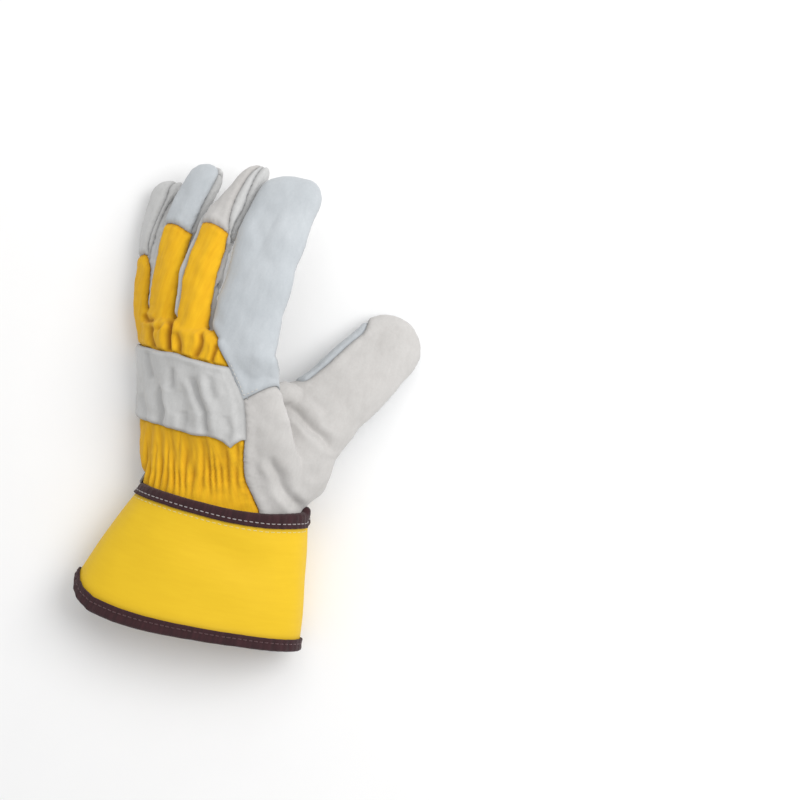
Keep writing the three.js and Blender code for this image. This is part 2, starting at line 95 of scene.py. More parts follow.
# Hand sections. along is a share of the palm's length from the cuff's top edge. side, up and cup are shares
# of the palm's width. width and thick are shares of the palm's width and thickness. roll is in degrees.
hand_rows = [
    dict(along=-0.19, side=-0.008, up=0.241, width=0.84, thick=0.95, roll=2, cup=0.02),
    dict(along=0.0, side=-0.014, up=0.242, width=0.845, thick=1.0, roll=4, cup=0.03),
    dict(along=0.19, side=-0.075, up=0.25, width=0.94, thick=1.05, roll=14, cup=0.05),
    dict(along=0.4, side=-0.155, up=0.298, width=0.98, thick=1.0, roll=26, cup=0.07),
    dict(along=0.62, side=-0.25, up=0.347, width=0.985, thick=0.88, roll=34, cup=0.095),
    dict(along=0.78, side=-0.335, up=0.375, width=0.995, thick=0.72, roll=37.5, cup=0.115),
    dict(along=0.9, side=-0.372, up=0.4, width=1.03, thick=0.58, roll=39.5, cup=0.125),
]

# Fingers. across is the root's share of the knuckle section's half width. side, up and bow are shares of the
# palm's width, width and thick of the named finger width and thickness. turn is in degrees.
fingers = {
    "index": dict(length=98, across=0.64, side=-0.138, up=0.44, turn=16, bow=-0.033, width=1.37, thick=0.9),
    "middle": dict(length=97, across=0.04, side=-0.379, up=0.335, turn=32, bow=-0.066, width=0.88, thick=0.95),
    "ring": dict(length=93, across=-0.42, side=-0.592, up=0.245, turn=36, bow=-0.072, width=0.84, thick=0.9),
    "pinky": dict(length=78, across=-0.75, side=-0.804, up=0.08, turn=42, bow=-0.052, width=0.82, thick=0.92),
}
finger_form = [
    dict(at=-0.2, size=0.7),
    dict(at=0.0, size=1.0),
    dict(at=0.36, size=1.02),
    dict(at=0.5, size=0.99),
    dict(at=0.63, size=1.02),
    dict(at=0.75, size=0.97),
    dict(at=0.87, size=0.94),
]
thumb_rows = [
    dict(at=0.0, side=0.13, on=0.11, up=0.2, width=1.12, thick=1.35, turn=12),
    dict(at=0.2, side=0.178, on=0.255, up=0.225, width=1.36, thick=1.4, turn=12),
    dict(at=0.38, side=0.225, on=0.405, up=0.222, width=1.21, thick=1.25, turn=10),
    dict(at=0.46, side=0.265, on=0.487, up=0.21, width=1.12, thick=1.15, turn=9),
    dict(at=0.54, side=0.305, on=0.565, up=0.19, width=1.04, thick=1.08, turn=8),
    dict(at=0.63, side=0.35, on=0.65, up=0.165, width=1.02, thick=1.0, turn=6),
    dict(at=0.72, side=0.395, on=0.735, up=0.128, width=1.0, thick=0.95, turn=5),
    dict(at=0.84, side=0.45, on=0.84, up=0.09, width=0.95, thick=0.92, turn=3),
]

# Border between the back fabric and the leather of the thumb side, across as a share of the half width
back_border = [
    dict(along=-0.2, across=0.6),
    dict(along=0.06, across=0.56),
    dict(along=0.13, across=0.51),
    dict(along=0.216, across=0.47),
    dict(along=0.32, across=0.52),
    dict(along=0.429, across=0.6),
    dict(along=0.628, across=0.69),
    dict(along=0.7, across=0.69),
    dict(along=0.76, across=0.665),
    dict(along=0.82, across=0.62),
    dict(along=0.89, across=0.52),
    dict(along=0.972, across=0.46),
    dict(along=1.2, across=0.45),
]

# Outlines seen from above, as shares of the palm's width and length
strap_outline = [
    (-0.95, 0.335), (-0.535, 0.348), (-0.293, 0.368), (-0.121, 0.397), (-0.083, 0.39), (-0.036, 0.37),
    (-0.02, 0.4), (0.006, 0.43), (0.05, 0.445), (0.2, 0.46), (0.2, 0.83), (-0.085, 0.8), (-0.4, 0.778),
    (-0.663, 0.757), (-0.95, 0.74),
]
tab_outline = [(-0.46, 0.12), (-0.44, -0.28), (-0.41, -0.3), (-0.1, -0.3), (-0.03, -0.24), (0.0, 0.12)]

# Folds seen from above: the points along each, its depth and its half width
back_folds = [
    ([(-23.7, 226.8), (-22.5, 207.3), (-19.6, 191.2)], 0.9, 5.0),
    ([(15.1, 126.4), (32.0, 120.0), (50.0, 109.9)], 2.6, 2.6),
    ([(24.0, 133.0), (32.0, 131.5), (42.3, 128.5)], 0.7, 2.4),
    ([(15.8, 99.9), (23.9, 89.0), (30.5, 80.9), (42.8, 74.0)], 2.2, 2.8),
    ([(50.0, 109.9), (44.3, 99.6), (38.4, 91.4)], 0.8, 2.6),
    ([(4.0, 112.0), (9.0, 96.0), (18.0, 80.0)], 0.6, 3.4),
]
fabric_folds = [
    ([(-69.1, 143.8), (-64.0, 137.0), (-60.3, 131.4)], 1.8, 1.5),
    ([(-57.6, 153.0), (-54.5, 142.0), (-50.2, 130.2)], 3.4, 1.9),
    ([(-65.9, 140.5), (-61.6, 144.8), (-58.3, 151.4)], 0.9, 1.3),
    ([(-51.5, 146.0), (-46.5, 138.5), (-44.6, 132.0)], 2.0, 1.9),
    ([(-37.4, 150.4), (-36.1, 143.7), (-36.8, 133.2)], 1.8, 1.6),
    ([(-27.5, 147.0), (-26.5, 139.0), (-24.8, 131.0)], 1.6, 1.4),
    ([(-74.0, 150.0), (-70.5, 146.5), (-66.0, 146.0)], 1.6, 1.4),
]
strap_folds = [
    ([(-51.6, 117.6), (-46.7, 103.8), (-42.2, 88.7)], 2.0, 2.0),
    ([(-45.8, 127.3), (-44.6, 121.0), (-43.2, 113.5)], 1.4, 1.9),
    ([(-35.1, 127.7), (-29.0, 117.2), (-21.7, 110.2), (-16.0, 96.3)], 2.1, 2.2),
    ([(-63.4, 132.8), (-60.4, 125.0), (-56.0, 115.5)], 1.3, 2.4),
    ([(-25.0, 131.0), (-24.0, 124.0), (-20.0, 117.0)], 0.8, 2.0),
    ([(-60.0, 110.0), (-56.0, 101.0), (-54.0, 92.0)], 0.9, 2.2),
    ([(-34.0, 108.0), (-31.0, 102.0), (-30.0, 94.0)], 1.0, 2.2),
    ([(-11.0, 114.0), (-8.0, 106.0), (-7.0, 97.0)], 0.8, 2.2),
]
palm_folds = [
    ([(-4.0, 132.0), (-18.0, 112.0), (-16.0, 88.0), (-4.0, 70.0)], 1.8, 3.0),
    ([(-12.0, 140.0), (-34.0, 128.0), (-58.0, 124.0), (-74.0, 130.0)], 1.5, 2.6),
    ([(-22.0, 116.0), (-44.0, 106.0), (-62.0, 108.0)], 1.2, 2.4),
    ([(8.0, 118.0), (26.0, 112.0), (42.0, 118.0)], 1.3, 2.2),
    ([(4.0, 96.0), (18.0, 90.0), (34.0, 96.0)], 1.0, 2.4),
    ([(-34.0, 92.0), (-30.0, 78.0), (-26.0, 68.0)], 0.9, 2.2),
]

# The flat web between the thumb and the index finger: middle, half lengths and turn in plan
thumb_web = dict(centre=(11.0, 130.0, 34.0), size=(12.0, 6.5, 8.0), turn=18)

# How far each finger's tip leans to the thumb side, in millimetres
tip_lean = dict(index=6.5, middle=4.5, ring=5.0, pinky=7.0)

# How much longer each fingertip is than its section table makes it, in millimetres
tip_growth = dict(index=0.0, middle=3.0, ring=-0.8, pinky=0.0)

# The share of its width that each fingertip loses towards its end
tip_taper = dict(index=0.0, middle=0.36, ring=0.0, pinky=0.0)

knuckle_along = hand_rows[-1]["along"]
knuckles_at = palm_start + knuckle_along * palm_length
wrist_side = palm_width * hand_rows[1]["side"]
wrist_up = palm_width * hand_rows[1]["up"]
finger_fullness = 0.86
fullness = 0.92


# Limbs

def column(rows, place, key, at):
    """Smooth value of one column of a table at places along it"""
    at = np.asarray(at, float)
    p = np.array([row[place] for row in rows])
    v = np.array([row[key] for row in rows])
    i = np.clip(np.searchsorted(p, at, side="left") - 1, 0, len(p) - 2)
    before = np.maximum(i - 1, 0)
    after = np.minimum(i + 2, len(p) - 1)
    span = p[i + 1] - p[i]
    t = np.clip((at - p[i]) / span, 0, 1)
    slope_a = (v[i + 1] - v[before]) / (p[i + 1] - p[before]) * span
    slope_b = (v[after] - v[i]) / (p[after] - p[i]) * span
    from_a = v[i] * (2 * t**3 - 3 * t**2 + 1) + slope_a * (t**3 - 2 * t**2 + t)
    from_b = v[i + 1] * (3 * t**2 - 2 * t**3) + slope_b * (t**3 - t**2)
    return from_a + from_b


def full(value, power):
    """Signed power, which makes an ellipse fuller"""
    return np.sign(value) * np.abs(value) ** power


def stack(x, y, z):
    return np.stack(np.broadcast_arrays(x, y, z), -1).astype(float)


def unit(vectors):
    return vectors / np.maximum(np.linalg.norm(vectors, axis=-1, keepdims=True), 1e-9)


def smooth_step(value, low, high):
    t = np.clip((value - low) / (high - low), 0, 1)
    return t * t * (3 - 2 * t)


def hand_place(along):
    """Sections of the hand: middle, axis across, axis out of the back, half sizes and cupping"""
    col = lambda key: column(hand_rows, "along", key, along)
    roll = col("roll") * degrees
    along = np.asarray(along, float)
    return dict(
        centre=stack(col("side") * palm_width, palm_start + along * palm_length, col("up") * palm_width),
        across=stack(np.cos(roll), 0, np.sin(roll)),
        outward=stack(-np.sin(roll), 0, np.cos(roll)),
        half_width=col("width") * palm_width / 2,
        half_thick=col("thick") * palm_thickness / 2,
        cup=col("cup") * palm_width,
        roll=roll,
        fullness=fullness,
    )


def cup_at(place, share):
    return -place["cup"] * (share * share - 0.5)


def hand_middle(along, share):
    place = hand_place(along)
    out = np.asarray(cup_at(place, share))[..., None] * place["outward"]
    return place["centre"] + (share * place["half_width"])[..., None] * place["across"] + out


straight_share = 0.35
root_step = 0.1
root_carry = 0.5


def finger_centre(finger, at):
    at = np.asarray(at, float)
    root = hand_middle(np.array(knuckle_along), finger["across"])
    before = hand_middle(np.array(knuckle_along - root_step), finger["across"])
    before_root = np.minimum(at, 0) * finger["length"] / palm_length
    in_palm = hand_middle(knuckle_along + before_root, finger["across"])
    tip = np.array([finger["side"] * palm_width, knuckles_at + finger["length"], finger["up"] * palm_width])
    bend = straight_share * at + (1 - straight_share) * at * at
    lean = (root - before) * root_carry
    carry = at * (1 - at) ** 2
    bow = finger["bow"] * palm_width * 4 * at * (1 - at)
    out = stack(
        root[0] + (tip[0] - root[0]) * bend + lean[0] * carry + bow,
        root[1] + (tip[1] - root[1]) * at,
        root[2] + (tip[2] - root[2]) * bend + lean[2] * carry,
    )
    return np.where((at < 0)[..., None], in_palm, out)


def finger_place(finger, at):
    step = 0.02
    at = np.asarray(at, float)
    tangent = unit(finger_centre(finger, at + step) - finger_centre(finger, at - step))
    knuckles = hand_place(np.array(knuckle_along))
    root_turn = knuckles["roll"] + np.arctan(-2 * knuckles["cup"] * finger["across"] / knuckles["half_width"])
    turn = root_turn + (finger["turn"] * degrees - root_turn) * np.clip(at, 0, 1)
    outward = unit(np.cross(stack(np.cos(turn), 0, np.sin(turn)), tangent))
    size = column(finger_form, "at", "size", at)
    return dict(
        centre=finger_centre(finger, at),
        across=np.cross(tangent, outward),
        outward=outward,
        half_width=finger["width"] * finger_width * size / 2,
        half_thick=finger["thick"] * finger_thickness * size / 2,
        cup=0 * size,
        fullness=finger_fullness,
    )


def thumb_centre(at):
    col = lambda key: column(thumb_rows, "at", key, at)
    side = col("side") * thumb_length + wrist_side
    return stack(side, palm_start + col("on") * thumb_length, col("up") * thumb_length)


def thumb_place(at):
    """Sections of the thumb, which go on straight past the last row"""
    at = np.asarray(at, float)
    step = 0.02
    last = thumb_rows[-1]["at"]
    near = np.minimum(at, last)
    col = lambda key: column(thumb_rows, "at", key, near)
    low = np.clip(near - step, 0, last - 2 * step)
    high = np.minimum(near + step, last)
    tangent = unit(thumb_centre(high) - thumb_centre(low))
    turn = col("turn") * degrees
    flat = np.stack([tangent[..., 1], -tangent[..., 0], 0 * tangent[..., 2]], -1)
    level = unit(flat) * np.cos(turn)[..., None]
    level[..., 2] = np.sin(turn)
    outward = unit(np.cross(level, tangent))
    across = np.cross(tangent, outward)
    past = (np.maximum(at - last, 0) * thumb_length)[..., None]
    return dict(
        centre=thumb_centre(near) + past * np.cross(outward, across),
        across=across,
        outward=outward,
        half_width=col("width") * thumb_width / 2,
        half_thick=col("thick") * thumb_thickness / 2,
        cup=0 * turn,
        fullness=finger_fullness,
    )


# Master skin

around = 80
ring_step = 1.6
voxel = 0.8
cap_rings = 12


def section_points(place, angles, shrink):
    """Rings of points on the skin, one for each section"""
    power = place["fullness"]
    cos = full(np.cos(angles), power)[None, :]
    sin = full(np.sin(angles), power)[None, :]
    across = place["half_width"][:, None] * cos
    out = place["half_thick"][:, None] * sin + cup_at({"cup": place["cup"][:, None]}, cos)
    ring = across[..., None] * place["across"][:, None, :] + out[..., None] * place["outward"][:, None, :]
    return place["centre"][:, None, :] + ring * shrink[:, None, None]


def limb_skin(place_at, low, high, cap, length, lean=0.0):
    """Closed tube along a limb with a rounded end, whose tip leans across by a length"""
    angles = np.linspace(0, 2 * math.pi, around, endpoint=False)
    count = max(int((high - low) * length / ring_step), 4)
    tube = section_points(place_at(np.linspace(low, high, count)), angles, np.ones(count))
    end = place_at(np.full(cap_rings, high))
    forward = np.cross(end["outward"], end["across"])
    turn = np.linspace(0, math.pi / 2, cap_rings + 1)[1:]
    end["centre"] = end["centre"] + forward * (cap * np.sin(turn))[:, None]
    end["centre"] = end["centre"] + end["across"] * (lean * (1 - np.cos(turn)))[:, None]
    rounded = section_points(end, angles, np.maximum(np.cos(turn), 0.02))
    rings = np.concatenate([tube, rounded])
    return closed_tube(rings)


def closed_tube(rings):
    """Points and quads of a tube through rings, with a fan at each end"""
    rows, count = rings.shape[:2]
    points = np.concatenate([rings.reshape(-1, 3), rings[:1].mean(1), rings[-1:].mean(1)])
    ids = np.arange(rows * count).reshape(rows, count)
    following = np.roll(ids, -1, 1)
    quads = np.stack([ids[:-1], following[:-1], following[1:], ids[1:]], -1).reshape(-1, 4)
    start, end = rows * count, rows * count + 1
    first = np.stack([following[0], ids[0], np.full(count, start)], -1)
    last = np.stack([ids[-1], following[-1], np.full(count, end)], -1)
    return points, [*quads.tolist(), *first.tolist(), *last.tolist()]


def apply_modifiers(obj):
    bpy.ops.object.select_all(action="DESELECT")
    obj.select_set(True)
    bpy.context.view_layer.objects.active = obj
    for modifier in list(obj.modifiers):
        bpy.ops.object.modifier_apply(modifier=modifier.name)
    obj.select_set(False)


def triangles_of(obj):
    mesh = obj.data
    mesh.calc_loop_triangles()
    points = np.empty(len(mesh.vertices) * 3)
    mesh.vertices.foreach_get("co", points)
    tris = np.empty(len(mesh.loop_triangles) * 3, np.int32)
    mesh.loop_triangles.foreach_get("vertices", tris)
    normals = np.empty(len(mesh.vertices) * 3)
    mesh.vertices.foreach_get("normal", normals)
    return points.reshape(-1, 3) / mm, tris.reshape(-1, 3), normals.reshape(-1, 3)


def web_skin():
    """Flattened ball that fills the web beside the thumb"""
    turn = thumb_web["turn"] * degrees
    stations = np.linspace(0, math.pi, 16)
    angles = np.linspace(0, 2 * math.pi, 24, endpoint=False)
    ball = np.stack(np.broadcast_arrays(
        np.sin(stations)[:, None] * np.cos(angles),
        np.sin(stations)[:, None] * np.sin(angles),
        -np.cos(stations)[:, None],
    ), -1) * thumb_web["size"]
    flat = ball.copy()
    flat[..., 0] = ball[..., 0] * math.cos(turn) - ball[..., 1] * math.sin(turn)
    flat[..., 1] = ball[..., 0] * math.sin(turn) + ball[..., 1] * math.cos(turn)
    return closed_tube(flat[1:-1] + thumb_web["centre"])


def tapered(place, at, share):
    """A finger's sections with the thumb side kept and the other side drawn in towards the tip"""
    loss = place["half_width"] * share * smooth_step(np.asarray(at), 0.6, 0.87)
    place["centre"] = place["centre"] + place["across"] * loss[..., None]
    place["half_width"] = place["half_width"] - loss
    return place


def master_skin():
    """One closed skin over the palm, the fingers and the thumb, smoothed where they meet"""
    last = finger_form[-1]["at"]
    limbs = [limb_skin(hand_place, hand_rows[0]["along"], knuckle_along, web_depth, palm_length)]
    for name, finger in fingers.items():
        place_at = lambda at, finger=finger, name=name: tapered(finger_place(finger, at), at, tip_taper[name])
        rounding = finger["length"] * (1 - last) + tip_growth[name]
        limbs.append(limb_skin(place_at, -0.2, last, rounding, finger["length"], tip_lean[name]))
    limbs.append(web_skin())
    thumb_last = thumb_rows[-1]["at"]
    limbs.append(limb_skin(thumb_place, 0.0, thumb_last, thumb_length * (1 - thumb_last), thumb_length))
    points = []
    faces = []
    total = 0
    for limb_points, limb_faces in limbs:
        points.append(limb_points)
        faces.extend([[corner + total for corner in face] for face in limb_faces])
        total += len(limb_points)
    mesh = bpy.data.meshes.new("skin")
    mesh.from_pydata((np.concatenate(points) * mm).tolist(), [], faces)
    obj = bpy.data.objects.new("skin", mesh)
    bpy.context.collection.objects.link(obj)
    remesh = obj.modifiers.new("Remesh", "REMESH")
    remesh.mode = "VOXEL"
    remesh.voxel_size = voxel * mm
    relax = obj.modifiers.new("Relax", "SMOOTH")
    relax.factor = 0.5
    relax.iterations = 12
    apply_modifiers(obj)
    points, tris, normals = triangles_of(obj)
    bpy.data.objects.remove(obj)
    return points, tris, normals


# Measures on the skin

def place_on_hand(points):
    along = (points[:, 1] - palm_start) / palm_length
    place = hand_place(along)
    offset = points - place["centre"]
    across = (offset * place["across"]).sum(-1)
    out = (offset * place["outward"]).sum(-1)
    return along, across, out, place["half_width"], cup_at(place, across / place["half_width"])


def place_on_limb(points, place_at, low, high):
    """Where each point lies along a limb, across it and out of its back"""
    stations = np.linspace(low, high, 140)
    centres = place_at(stations)["centre"]
    nearest = np.empty(len(points), int)
    for start in range(0, len(points), 20000):
        chunk = points[start:start + 20000]
        distance = (centres**2).sum(-1)[None] - 2 * chunk @ centres.T
        nearest[start:start + 20000] = distance.argmin(1)
    step = np.gradient(centres, axis=0)
    length = np.linalg.norm(step, axis=-1)
    along = ((points - centres[nearest]) * step[nearest]).sum(-1) / length[nearest] ** 2
    at = stations[nearest] + np.clip(along, -8, 8) * (stations[1] - stations[0])
    place = place_at(at)
    offset = points - place["centre"]
    return at, (offset * place["across"]).sum(-1), (offset * place["outward"]).sum(-1), place["half_width"]


def polyline_distance(points, line):
    """Distance of plan points from a line, and how far along it the nearest place is"""
    line = np.array(line, float)
    lengths = np.linalg.norm(np.diff(line, axis=0), axis=-1)
    before = np.concatenate([[0], np.cumsum(lengths)])
    best = np.full(len(points), 1e9)
    share = np.zeros(len(points))
    for i, length in enumerate(lengths):
        way = (line[i + 1] - line[i]) / length
        t = np.clip((points - line[i]) @ way, 0, length)
        distance = np.linalg.norm(points - line[i] - t[:, None] * way, axis=-1)
        closer = distance < best
        best[closer] = distance[closer]
        share[closer] = (before[i] + t[closer]) / before[-1]
    return best, share


def outline_inside(points, outline):
    """Distance inside an outline seen from above, negative outside it"""
    corners = np.array([(side * palm_width, palm_start + along * palm_length) for side, along in outline])
    closed = np.concatenate([corners, corners[:1]])
    distance, _ = polyline_distance(points, closed)
    inside = np.zeros(len(points), bool)
    for (x1, y1), (x2, y2) in zip(closed[:-1], closed[1:]):
        crosses = (y1 > points[:, 1]) != (y2 > points[:, 1])
        reach = (x2 - x1) * (points[:, 1] - y1) / (y2 - y1 + 1e-12) + x1
        inside ^= crosses & (points[:, 0] < reach)
    return np.where(inside, distance, -distance)


def waves(points, size, seed, count=22):
    """Smooth random relief with lumps of about the given size, near one in height"""
    source = np.random.default_rng(seed)
    ways = unit(source.normal(size=(count, points.shape[1])))
    lengths = size * source.uniform(0.75, 1.7, count)
    phases = source.uniform(0, 2 * math.pi, count)
    rates = ways * (2 * math.pi / lengths)[:, None]
    return np.sin(points @ rates.T + phases).sum(1) * math.sqrt(2 / count) * 0.7


def fold_relief(points, facing, folds):
    """Folds pressed into the skin, each a groove between two low ridges that fades at its ends"""
    relief = np.zeros(len(points))
    wander = np.stack([waves(points, 14, 31), waves(points, 14, 32)], -1) * 0.8
    plan = points[:, :2] + wander
    for line, depth, width in folds:
        distance, share = polyline_distance(plan, line)
        fade = smooth_step(share, 0, 0.2) * smooth_step(1 - share, 0, 0.2)
        groove = np.exp(-((distance / width) ** 2))
        ridge = np.exp(-(((distance - 2.1 * width) / (1.1 * width)) ** 2))
        relief += depth * fade * (0.4 * ridge - groove)
    return relief * facing


# Cutting

def clipped(points, tris, level, extras):
    """The part of a triangle mesh where level is positive, cut along the line where it is zero"""
    inside = level > 0
    count = inside[tris].sum(1)
    odd_in = tris[count == 1]
    odd_out = tris[count == 2]

    def odd_first(rows, value):
        place = (inside[rows] == value).argmax(1)
        return rows[np.arange(len(rows))[:, None], (place[:, None] + np.arange(3)) % 3]

    one = odd_first(odd_in, True)
    two = odd_first(odd_out, False)
    pairs = np.concatenate([one[:, :2], one[:, ::2], two[:, :2], two[:, ::2]])
    unique, back = np.unique(np.sort(pairs, 1), axis=0, return_inverse=True)
    back = back.reshape(-1) + len(points)
    a, b = unique[:, 0], unique[:, 1]
    t = (level[a] / (level[a] - level[b]))[:, None]
    cut_points = points[a] + (points[b] - points[a]) * t
    cut_extras = extras[a] + (extras[b] - extras[a]) * t
    n, m = len(one), len(two)
    one_b, one_c = back[:n], back[n:2 * n]
    two_b, two_c = back[2 * n:2 * n + m], back[2 * n + m:]
    new = [
        tris[count == 3],
        np.stack([one[:, 0], one_b, one_c], -1),
        np.stack([two_b, two[:, 1], two[:, 2]], -1),
        np.stack([two_b, two[:, 2], two_c], -1),
    ]
    faces = np.concatenate(new)
    used, faces = np.unique(faces, return_inverse=True)
    all_points = np.concatenate([points, cut_points])[used]
    all_extras = np.concatenate([extras, cut_extras])[used]
    return all_points, faces.reshape(-1, 3), all_extras


def large_parts(points, tris, extras, fewest):
    """The mesh without the crumbs that a cut leaves, which have less than the fewest faces wanted"""
    label = np.arange(len(points))
    while True:
        low = label[tris].min(1)
        lowered = label.copy()
        np.minimum.at(lowered, tris.reshape(-1), np.repeat(low, 3))
        lowered = lowered[lowered]
        if (lowered == label).all():
            break
        label = lowered
    names, counts = np.unique(label[tris[:, 0]], return_counts=True)
    kept = tris[np.isin(label[tris[:, 0]], names[counts >= fewest])]
    used, faces = np.unique(kept, return_inverse=True)
    return points[used], faces.reshape(-1, 3), extras[used]


def divided(points, tris, extras):
    """Each triangle in four"""
    edges = np.sort(np.concatenate([tris[:, [0, 1]], tris[:, [1, 2]], tris[:, [2, 0]]]), 1)
    unique, back = np.unique(edges, axis=0, return_inverse=True)
    middle = back.reshape(-1) + len(points)
    n = len(tris)
    ab, bc, ca = middle[:n], middle[n:2 * n], middle[2 * n:]
    a, b, c = tris.T
    faces = [np.stack(corner, -1) for corner in ((a, ab, ca), (ab, b, bc), (ca, bc, c), (ab, bc, ca))]
    halves = lambda values: np.concatenate([values, (values[unique[:, 0]] + values[unique[:, 1]]) / 2])
    return halves(points), np.concatenate(faces), halves(extras)


def level_lines(points, tris, level, extras):
    """The lines on a mesh where level is zero, each as a row of points with their extras"""
    inside = level > 0
    count = inside[tris].sum(1)
    rows = tris[(count == 1) | (count == 2)]
    links = {}
    for row in rows:
        ends = []
        for i in range(3):
            a, b = int(row[i]), int(row[(i + 1) % 3])
            if inside[a] != inside[b]:
                ends.append((min(a, b), max(a, b)))
        links.setdefault(ends[0], []).append(ends[1])
        links.setdefault(ends[1], []).append(ends[0])
    lines = []
    unused = dict(links)
    while unused:
        start = next((key for key in unused if len(links[key]) == 1), next(iter(unused)))
        line = [start]
        unused.pop(start)
        while True:
            following = [key for key in links[line[-1]] if key in unused]
            if not following:
                break
            line.append(following[0])
            unused.pop(following[0])
        a, b = np.array(line).T
        t = (level[a] / (level[a] - level[b]))[:, None]
        lines.append((points[a] + (points[b] - points[a]) * t, extras[a] + (extras[b] - extras[a]) * t))
    return lines


# Cuff

under_rim = binding_thickness + lay_gap
in_cuff = cuff_wall + binding_thickness + 2 * lay_gap + wrist_ease
top_half_width = palm_width * hand_rows[1]["width"] / 2 + in_cuff
top_half_height = palm_thickness * hand_rows[1]["thick"] / 2 + in_cuff
rim_centre = cuff_opening_height * 0.4
rim_flat = 2.5
rim_reach = rim_binding_width + 2
corner_rise = 2.5
tip_rise = 3.0
corner_width = 0.03
tip_width = 0.006
top_tuck = 3.5
left_tuck = 1.0

# How much lower the rim hangs than a level one, from the little finger's side, -1, to the thumb's, 1
rim_drop = [(-1.0, 1.0), (-0.97, 4.5), (-0.9, 8.0), (-0.78, 10.2), (-0.55, 9.5), (-0.33, 8.0), (0.12, 4.0),
            (0.5, 1.5), (1.0, 0.0)]

# How much higher the top edge stands at such places than an evenly curved one
top_rise = [(-1.0, 3.0), (-0.6, 2.8), (-0.2, 1.8), (0.2, 0.0), (0.6, -1.4), (1.0, -1.6)]


def cuff_point(down, angle, grow, soft=1.0):
    """Points on the cuff. down is the distance from its top edge, and soft scales its waves."""
    down, angle, grow = np.broadcast_arrays(np.asarray(down, float), angle, grow)
    cos = full(np.cos(angle), fullness)
    sin = full(np.sin(angle), fullness)
    share = np.minimum(down / cuff_height, 1)
    level = np.clip(down / (cuff_height - rim_reach), 0, 1)
    half_width = top_half_width + (cuff_opening_width / 2 - top_half_width) * share
    over = top_half_height + (cuff_opening_height - rim_centre - top_half_height) * level
    under = top_half_height + (rim_centre - under_rim + rim_flat - top_half_height) * level
    middle = wrist_up + (rim_centre - wrist_up) * level
    x = wrist_side + (half_width + grow) * cos
    z = middle + (np.where(sin > 0, over, under) + grow) * sin
    top_middle = palm_start + cuff_overlap - cuff_top_sag
    top_edge = top_middle + cuff_top_sag * cos * cos + cuff_top_slope * top_half_width * cos
    rim_edge = rim_start - cuff_rim_sag * (1 - cos * cos)
    corner = corner_rise * np.exp(-(((np.cos(angle) + 1) / corner_width) ** 2)) * share**6
    corner = corner - np.interp(cos, *zip(*rim_drop)) * share**2
    spike = tip_rise * np.exp(-(((np.cos(angle) - 1) / tip_width) ** 2))
    top_edge = top_edge + (spike + np.interp(cos, *zip(*top_rise))) * soft
    y = top_edge + (rim_edge + corner * soft - top_edge) * down / cuff_height
    x = x - (top_tuck * cos + left_tuck * np.minimum(cos, 0)) * (1 - level) ** 2 * soft
    plan = np.stack([angle * 40, down], -1).reshape(-1, 2)
    ripple = (waves(plan, 46, 51) * 0.7 + waves(plan, 17, 52) * 0.16).reshape(down.shape)
    ripple = ripple * soft * smooth_step(level, 0.05, 0.35) * (1 - 0.5 * level)
    z = z + ripple * np.abs(sin) + cuff_top_tilt * top_half_width * cos * (1 - level)
    x = x + ripple * 0.4 * cos
    return np.stack([x, y, np.maximum(z, under_rim - grow)], -1)


def frame_shift():
    """How far the frame has moved the glove from its own measure"""
    angles = np.arange(28) / 28 * 2 * math.pi
    rim = cuff_point(cuff_height, angles, 0, soft=0)
    lowest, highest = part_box("safety_cuff")
    shift_x = (lowest.x + highest.x) / 2 / mm - (rim[:, 0].min() + rim[:, 0].max()) / 2
    return np.array([shift_x, lowest.y / mm - rim[:, 1].min(), 0.0])


shift = frame_shift()
floor_height = 0.05


# Pieces

def finished(name, points, tris, finish, nodes=(), wall=None, uv=None, seam=None):
    """Puts a piece in the frame, gives it its wall and finish, and lets it stand for its nodes"""
    placed = points + shift
    placed[:, 2] = np.maximum(placed[:, 2], floor_height)
    mesh = bpy.data.meshes.new(name)
    mesh.from_pydata((placed * mm).tolist(), [], tris.tolist())
    corners = np.empty(len(mesh.loops), np.int32)
    mesh.loops.foreach_get("vertex_index", corners)
    if uv is not None:
        layer = mesh.uv_layers.new(name="cloth")
        layer.data.foreach_set("uv", (uv[corners] * mm).reshape(-1).astype(np.float32))
    # The seam attribute darkens the finish: seam dirt and painted shade at panel edges, and painted shade in
    # folds
    attribute = mesh.attributes.new("seam", "FLOAT", "POINT")
    seam_dirt_and_painted_shade = np.zeros(len(placed)) if seam is None else seam
    attribute.data.foreach_set("value", seam_dirt_and_painted_shade.astype(np.float32))
    obj = bpy.data.objects.new(name, mesh)
    bpy.context.collection.objects.link(obj)
    if wall:
        solid = obj.modifiers.new("Wall", "SOLIDIFY")
        solid.thickness = wall * mm
        solid.offset = -1
        apply_modifiers(obj)
        for vertex in obj.data.vertices:
            vertex.co.z = max(vertex.co.z, floor_height * mm)
    obj.data.shade_smooth()
    obj.data.materials.append(finish)
    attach(obj, "root")
    if nodes:
        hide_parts(*nodes)


# Materials

def node_group(name, inputs, outputs):
    group = bpy.data.node_groups.new(name, "ShaderNodeTree")
    for label, kind, value in inputs:
        socket = group.interface.new_socket(name=label, in_out="INPUT", socket_type=kind)
        if value is not None:
            socket.default_value = value
    for label, kind in outputs:
        group.interface.new_socket(name=label, in_out="OUTPUT", socket_type=kind)
    start = group.nodes.new("NodeGroupInput")
    end = group.nodes.new("NodeGroupOutput")
    return group, start, end


def added(tree, kind, **values):
    node = tree.nodes.new(kind)
    for key, value in values.items():
        node.inputs[key].default_value = value
    return node


def math_node(tree, operation, a, b=None):
    node = tree.nodes.new("ShaderNodeMath")
    node.operation = operation
    for i, value in enumerate((a, b)):
        if value is None:
            continue
        if isinstance(value, (int, float)):
            node.inputs[i].default_value = value
        else:
            tree.links.new(value, node.inputs[i])
    return node.outputs[0]


